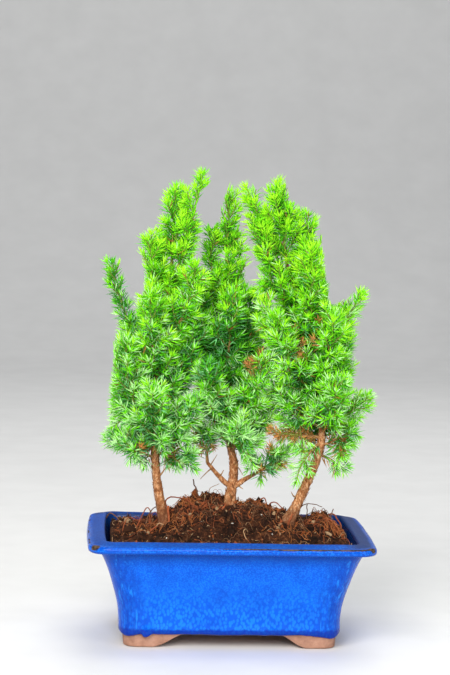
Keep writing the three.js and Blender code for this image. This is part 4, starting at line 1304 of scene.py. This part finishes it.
def grow():
    """Every shoot of the crown: each mass's own, those on the stems, and the fillers."""
    shoots = []
    for index, mass in enumerate(masses):
        draw = stream(index * SEED["step"] + SEED["first"])
        trimmed = shortened(mass.path, TRIM["stem"], 40)
        bare = min(6, mass.path.span * 0.1)
        foot_radius = SHOOT_RADIUS["stem"] * (1.3 if mass.dead else 1)
        shoots.append(Shoot(mass, trimmed, 0, bare, foot_radius, brown=mass.dead))
        if mass.dead:
            for path in side_paths(mass.path, mass.girth, draw, ON_DEAD):
                shoots.append(Shoot(mass, path, 2, 0.8, SHOOT_RADIUS["twig"], 0.25, brown=True))
            continue
        paths = [shortened(p, TRIM["side"]) for p in side_paths(mass.path, mass.girth, draw, SIDE)]
        if mass.name in SPARSE:
            shoots += [Shoot(mass, path, 1, 1.0, SHOOT_RADIUS["side"]) for path in fitted(mass, paths[:2])]
            continue
        paths += side_paths(mass.path, mass.girth, draw, FINE)
        shoots += with_twigs(mass, fitted(mass, paths), draw)
    for index, tree in enumerate(stems):
        shoots += grow_on_stem(tree, index)
    return shoots + fillers()


# Where whole shoots inside the crown have died back: place and radius.
DIED_BACK = [((10, -16, 200), 12), ((-20, 8, 131), 8), ((47, -15, 205), 9), ((58, -20, 219), 9),
             ((28, -2, 124), 10), ((22, -2, 115), 8), ((-17, 5, 129), 9), ((-8, 6, 145), 7),
             ((-64, -20, 137), 6), ((-50, -10, 134), 7), ((66, -8, 141), 9), ((68, -8, 134), 6),
             ((-57, -28, 196), 5), ((31, -4, 122), 9)]


def needle_blades(base, direction, side, length, width):
    """Needles of four triangles, flat above and keeled below, so that they have a width from every side."""
    length, half = length[:, None], width[:, None] / 2
    widest = base + direction * length * NEEDLE["widest"]
    keel = widest + np.cross(side, direction) * half * NEEDLE["keel"]
    corners = [base, widest + side * half, widest - side * half, keel, base + direction * length]
    pattern = np.array([(0, 1, 3), (0, 3, 2), (1, 4, 3), (3, 4, 2)])
    return np.stack(corners, 1).reshape(-1, 3), repeated(pattern, len(base), len(corners))


def needles_on(shoot, random):
    """Whorls of three needles up a shoot, closing to a point at its tip."""
    path = shoot.path
    hanging = shoot.mass.name in SPARSE
    whorl = NEEDLE["whorl"] * (1.15 if shoot.level == 0 and not hanging else 0.8 if hanging else 1)
    steps = np.arange(shoot.bare, path.span, whorl)
    steps = np.concatenate([steps, [path.span - 0.6, path.span - 0.2]])
    s = np.repeat(steps, 3)
    n = len(s)
    turn = np.repeat(np.arange(len(steps)) * 60.0, 3) + np.tile((0.0, 120.0, 240.0), len(steps))
    turn = np.radians(turn + random.uniform(0, 360) + random.normal(size=n) * NEEDLE["jitter"])
    centre, tangent = path.at(s), path.heading(s)
    u, v = sideways(tangent)
    out = u * np.cos(turn)[:, None] + v * np.sin(turn)[:, None]
    closing = np.clip((path.span - s) / NEEDLE["closing"], 0, 1)
    lean = NEEDLE["tip_lean"] + (NEEDLE["lean"] - NEEDLE["tip_lean"]) * closing**0.8
    lean = np.radians(lean + random.normal(size=n) * NEEDLE["jitter"])
    direction = unit(out * np.sin(lean)[:, None] + tangent * np.cos(lean)[:, None])
    length = NEEDLE["length"] * (NEEDLE["tip_length"] + (1 - NEEDLE["tip_length"]) * closing)
    length = length * random.uniform(0.84, 1.12, n) * (0.86 if shoot.brown else 1)
    share = s / path.span
    radius = shoot.foot_radius + (shoot.tip_radius - shoot.foot_radius) * share
    base = centre + out * (radius - NEEDLE["sink"])[:, None]
    twist = np.radians(random.normal(size=n) * NEEDLE["twist"])
    side = unit(np.cross(direction, out))
    side = side * np.cos(twist)[:, None] + np.cross(direction, side) * np.sin(twist)[:, None]
    width = NEEDLE["width"] * random.uniform(0.85, 1.15, n) * (0.8 if shoot.brown else 1)
    return base, direction, side, length, width, share


KINDS = list(NEEDLES)
# How bright a needle is: by its share of the shoot, its depth in the mass, how far out, how high and how
# far right it is, how much one needle and one shoot change it, and how much painted shade darkens deep
# places.
BRIGHT = dict(share=0.62, depth=0.26, outer=0.34, high=0.30, right=0.13, needle=0.07, shoot=0.11, hollow=0.42,
              start=-0.18)
LEAST_BRIGHT = dict(green=0.42, fresh=0.66, lime=0.98, low_lime=0.2, waxy_pale=0.55)
# Masses whose needles are darker or brighter than their place alone makes them; the darker ones are painted
# shade on masses that lie behind or among others.
SHADE_AND_TONE = {
    "left": {"spur": -0.28, "inner": -0.2},
    "middle": {"mid_left": -0.30, "mid_right": -0.24, "left": -0.08, "front": -0.06, "low_front": 0.1,
               "low_right": 0.1},
    "right": {"droop_front": 0.2, "droop_side": 0.15, "spray": 0.1, "left": -0.06},
}
# Deep places between the crowns, darkened by painted shade on their needles: x, z and spread.
SHADED_HOLLOWS = [(-12, 205, 10), (-16, 190, 6), (46, 226, 7), (50, 184, 6), (-4, 217, 7)]


def needle_kinds(shoot, base, share, random):
    """Each needle's colour: bright at the tips, deep inside, waxy blue-green low down, brown where dead;
    painted shade darkens shaded masses and the deep places between the crowns.
    """
    n = len(base)
    if shoot.brown:
        return np.where(random.random(n) < 0.55, KINDS.index("brown"), KINDS.index("rust"))
    mass, stem = shoot.mass, stems[shoot.mass.tree]
    x, _, z = base.T
    depth = np.clip(mass.depth(base), 0, 1.2)
    high = ramped(z, 120, 310)
    axis = stem.at(np.interp(z, stem.points[:, 2], stem.along))
    from_axis = np.linalg.norm((base - axis)[:, :2], axis=1)
    outer = np.clip(from_axis / 36, 0, 1) * (1 - high * 0.6) + high * 0.6
    right = ramped(x, 15, 65) * (1 - high)
    score = BRIGHT["share"] * share + BRIGHT["depth"] * depth + BRIGHT["outer"] * outer
    score = score + BRIGHT["high"] * high
    score = score + random.normal(size=n) * BRIGHT["needle"] + BRIGHT["start"]
    score = score + random.normal() * BRIGHT["shoot"]
    # The darker mass entries add painted shade to masses that lie behind others.
    score = score + BRIGHT["right"] * right + SHADE_AND_TONE[mass.tree].get(mass.name, 0)
    # Painted shade: needles in the deep places between the crowns are made darker.
    for hollow_x, hollow_z, spread in SHADED_HOLLOWS:
        score = score - BRIGHT["hollow"] * hill(x, z, hollow_x, hollow_z, 2 * spread**2)
    waxy = random.random(n) < (0.62 - 0.78 * high + 0.22 * (score > 0.9) * (1 - high)) * (1 - 0.4 * right)
    kind = np.full(n, KINDS.index("deep"))
    for name, more in (("green", 0), ("fresh", 0), ("lime", LEAST_BRIGHT["low_lime"] * (1 - high) ** 2)):
        kind[score > LEAST_BRIGHT[name] + more] = KINDS.index(name)
    pale = score > LEAST_BRIGHT["waxy_pale"]
    kind[waxy & pale] = KINDS.index("pale")
    kind[waxy & ~pale] = KINDS.index("blue")
    dry = random.random(n) < np.where((z < 160) & (from_axis < 16), 0.30, 0.015)
    kind[dry & (share < 0.7)] = KINDS.index("brown")
    return kind


def before_dead_branch(points):
    """Which points would hide the dead branch, seen from the front."""
    dead = next(m for m in masses if m.dead).path
    line = dead.at(np.linspace(0, dead.span, 30))
    aside = np.linalg.norm((points[:, None] - line[None])[..., [0, 2]], axis=-1)
    return (aside.min(1) < 3.4) & (points[:, 1] < line[aside.argmin(1), 1] + 1)


def in_the_clear(mass, base, tips):
    """Which needles touch no limb and hide no sky, no bare stretch of stem and no dead branch."""
    middles = (base + tips) / 2
    clear = (gap_to_limbs(tips) > 0.4) & ~in_sky(tips, 0.8)
    clear &= ~in_sky(tips, gaps=STEM_SHOWS) & ~in_sky(middles, gaps=STEM_SHOWS)
    if not mass.dead:
        clear &= ~before_dead_branch(tips) & ~before_dead_branch(middles)
    return clear


def needle_pieces(tree, shoots, nodes, random):
    buckets = {kind: [] for kind in KINDS}
    for shoot in shoots:
        *columns, share = needles_on(shoot, random)
        base, direction, _, length, _ = columns
        clear = in_the_clear(shoot.mass, base, base + direction * length[:, None])
        kind = needle_kinds(shoot, base, share, random)
        for index in np.unique(kind[clear]):
            chosen = clear & (kind == index)
            buckets[KINDS[index]].append([column[chosen] for column in columns])
    for kind, lists in buckets.items():
        blades = needle_blades(*(np.concatenate(column) for column in zip(*lists)))
        slot = "dead_needles" if kind in ("brown", "rust") else "needles"
        make(f"needles_{tree}_{kind}", *blades, NEEDLES[kind], slot, nodes, smooth=False)


# Kinds of twig: material, slot, level of shoot, sides, rings, and which part of the shoot.
TWIGS = {
    "woody": (TWIG_BARK, "bark", 0, 7, 14, (0, WOODY)),
    "leading": (GREEN_WOOD, "needles", 0, 6, 14, (WOODY, 1)),
    "side": (GREEN_WOOD, "needles", 1, 4, 6, (0, 1)),
    "fine": (GREEN_WOOD, "needles", 2, 3, 4, (0, 1)),
}


def twig_pieces(tree, shoots, nodes):
    for kind, (material, slot, level, sides, rings, part) in TWIGS.items():
        share = np.linspace(*part, rings)
        group = [s for s in shoots if s.level == level]
        paths = [s.path.at(share * s.path.span) for s in group]
        radii = [s.foot_radius + (s.tip_radius - s.foot_radius) * share for s in group]
        make(f"twigs_{tree}_{kind}", *tubes(paths, radii, sides), material, slot, nodes)


def foliage():
    random = np.random.default_rng(101)
    shoots = grow()
    for shoot in shoots:
        middle = shoot.path.at(shoot.path.span * 0.5)
        for place, radius in DIED_BACK:
            if shoot.level and np.linalg.norm(middle - place) < radius and random.random() < 0.6:
                shoot.brown = True
    for tree in MASSES:
        own = [s for s in shoots if s.mass.tree == tree]
        nodes = sorted({s.mass.node for s in own})
        needle_pieces(tree, own, nodes, random)
        twig_pieces(tree, own, nodes)


# ---------------------------------------------------------------- stage, light and camera

# In metres: a sheet that lies flat under the pot and curves up far behind it.
SHEET = dict(half_width=3.6, front=-3.2, flat_to=1.9, curve=1.1, top=3.6, below=0.0003, steps=14)
ABOVE_POT = (0, 0, 0.2)
# Area lights: place, what they face, width and height, watts, colour.
LIGHTS = {
    "key": ((-0.68, -1.28, 1.12), (0, 0, 0.17), (0.9, 0.9), 27, (1.0, 0.98, 0.94)),
    "fill": ((1.25, -1.2, 0.6), (0, 0, 0.15), (1.0, 1.0), 9, (0.95, 0.98, 1.0)),
    "front": ((-0.2, -1.8, 0.85), ABOVE_POT, (0.9, 0.6), 17, (1, 1, 1)),
    "top": ((0.1, 0.25, 1.5), ABOVE_POT, (0.9, 0.9), 8, (1, 1, 1)),
    "back": ((0.4, 1.3, 1.6), ABOVE_POT, (1.0, 0.8), 7, (1, 1, 1)),
    "backdrop": ((0, 1.3, 2.3), (0, 3.0, 0.9), (2.4, 0.5), 8, (1, 1, 1)),
}


def stage():
    s = Shader("floor", 0.6)
    s.set("Base Color", s.ramp(s.noise(60, 2), [(0.3, (0.72, 0.72, 0.71)), (0.7, (0.76, 0.76, 0.75))]))
    far, curve = SHEET["flat_to"], SHEET["curve"]
    angles = np.linspace(0.1, math.pi / 2, SHEET["steps"])
    rise = [(far + curve * math.sin(a), curve - curve * math.cos(a)) for a in angles]
    profile = [(SHEET["front"], 0), (far, 0), *rise, (far + curve, SHEET["top"])]
    points = [(side * SHEET["half_width"], y, z - SHEET["below"]) for y, z in profile for side in (-1, 1)]
    mesh = bpy.data.meshes.new("floor")
    mesh.from_pydata(points, [], [(i, i + 1, i + 3, i + 2) for i in range(0, len(points) - 2, 2)])
    for polygon in mesh.polygons:
        polygon.use_smooth = True
    mesh.materials.append(s.material)
    floor = add("floor", mesh)


def lights():
    for name, (place, target, size, power, colour) in LIGHTS.items():
        data = bpy.data.lights.new(name, "AREA")
        data.shape = "RECTANGLE"
        data.size, data.size_y = size
        data.energy, data.color = power, colour
        light = add(name, data)
        light.location = place
        light.rotation_euler = (Vector(target) - Vector(place)).to_track_quat("-Z", "Y").to_euler()
    world = bpy.data.worlds.new("studio")
    world.use_nodes = True
    sky = world.node_tree.nodes["Background"]
    sky.inputs["Color"].default_value = (0.93, 0.95, 1.0, 1)
    sky.inputs["Strength"].default_value = 0.3
    bpy.context.scene.world = world


def camera():
    """The photograph's own viewpoint: turned right, tilted down and rolled by VIEW's angles."""
    yaw, pitch, roll = (math.radians(VIEW[k]) for k in ("yaw", "pitch", "roll"))
    ahead = Vector((math.sin(yaw) * math.cos(pitch), math.cos(yaw) * math.cos(pitch), -math.sin(pitch)))
    level = Vector((math.cos(yaw), -math.sin(yaw), 0))
    above = level.cross(ahead)
    right = level * math.cos(roll) + above * math.sin(roll)
    up = above * math.cos(roll) - level * math.sin(roll)
    data = bpy.data.cameras.new("camera")
    data.lens = VIEW["focal"] / VIEW["frame"] * data.sensor_width
    eye = add("camera", data)
    turn = Matrix((right, up, -ahead)).transposed()
    eye.matrix_world = Matrix.Translation(Vector(VIEW["place"]) * MM + Vector(CENTRE)) @ turn.to_4x4()
    bpy.context.scene.camera = eye


bpy.context.scene.view_settings.view_transform = "Standard"

camera()
glazed_pot()
pot_feet()
pot_underside()
soil_bed()
crumbs()
strands()
stem_pieces()
flakes()
foliage()
stage()
lights()
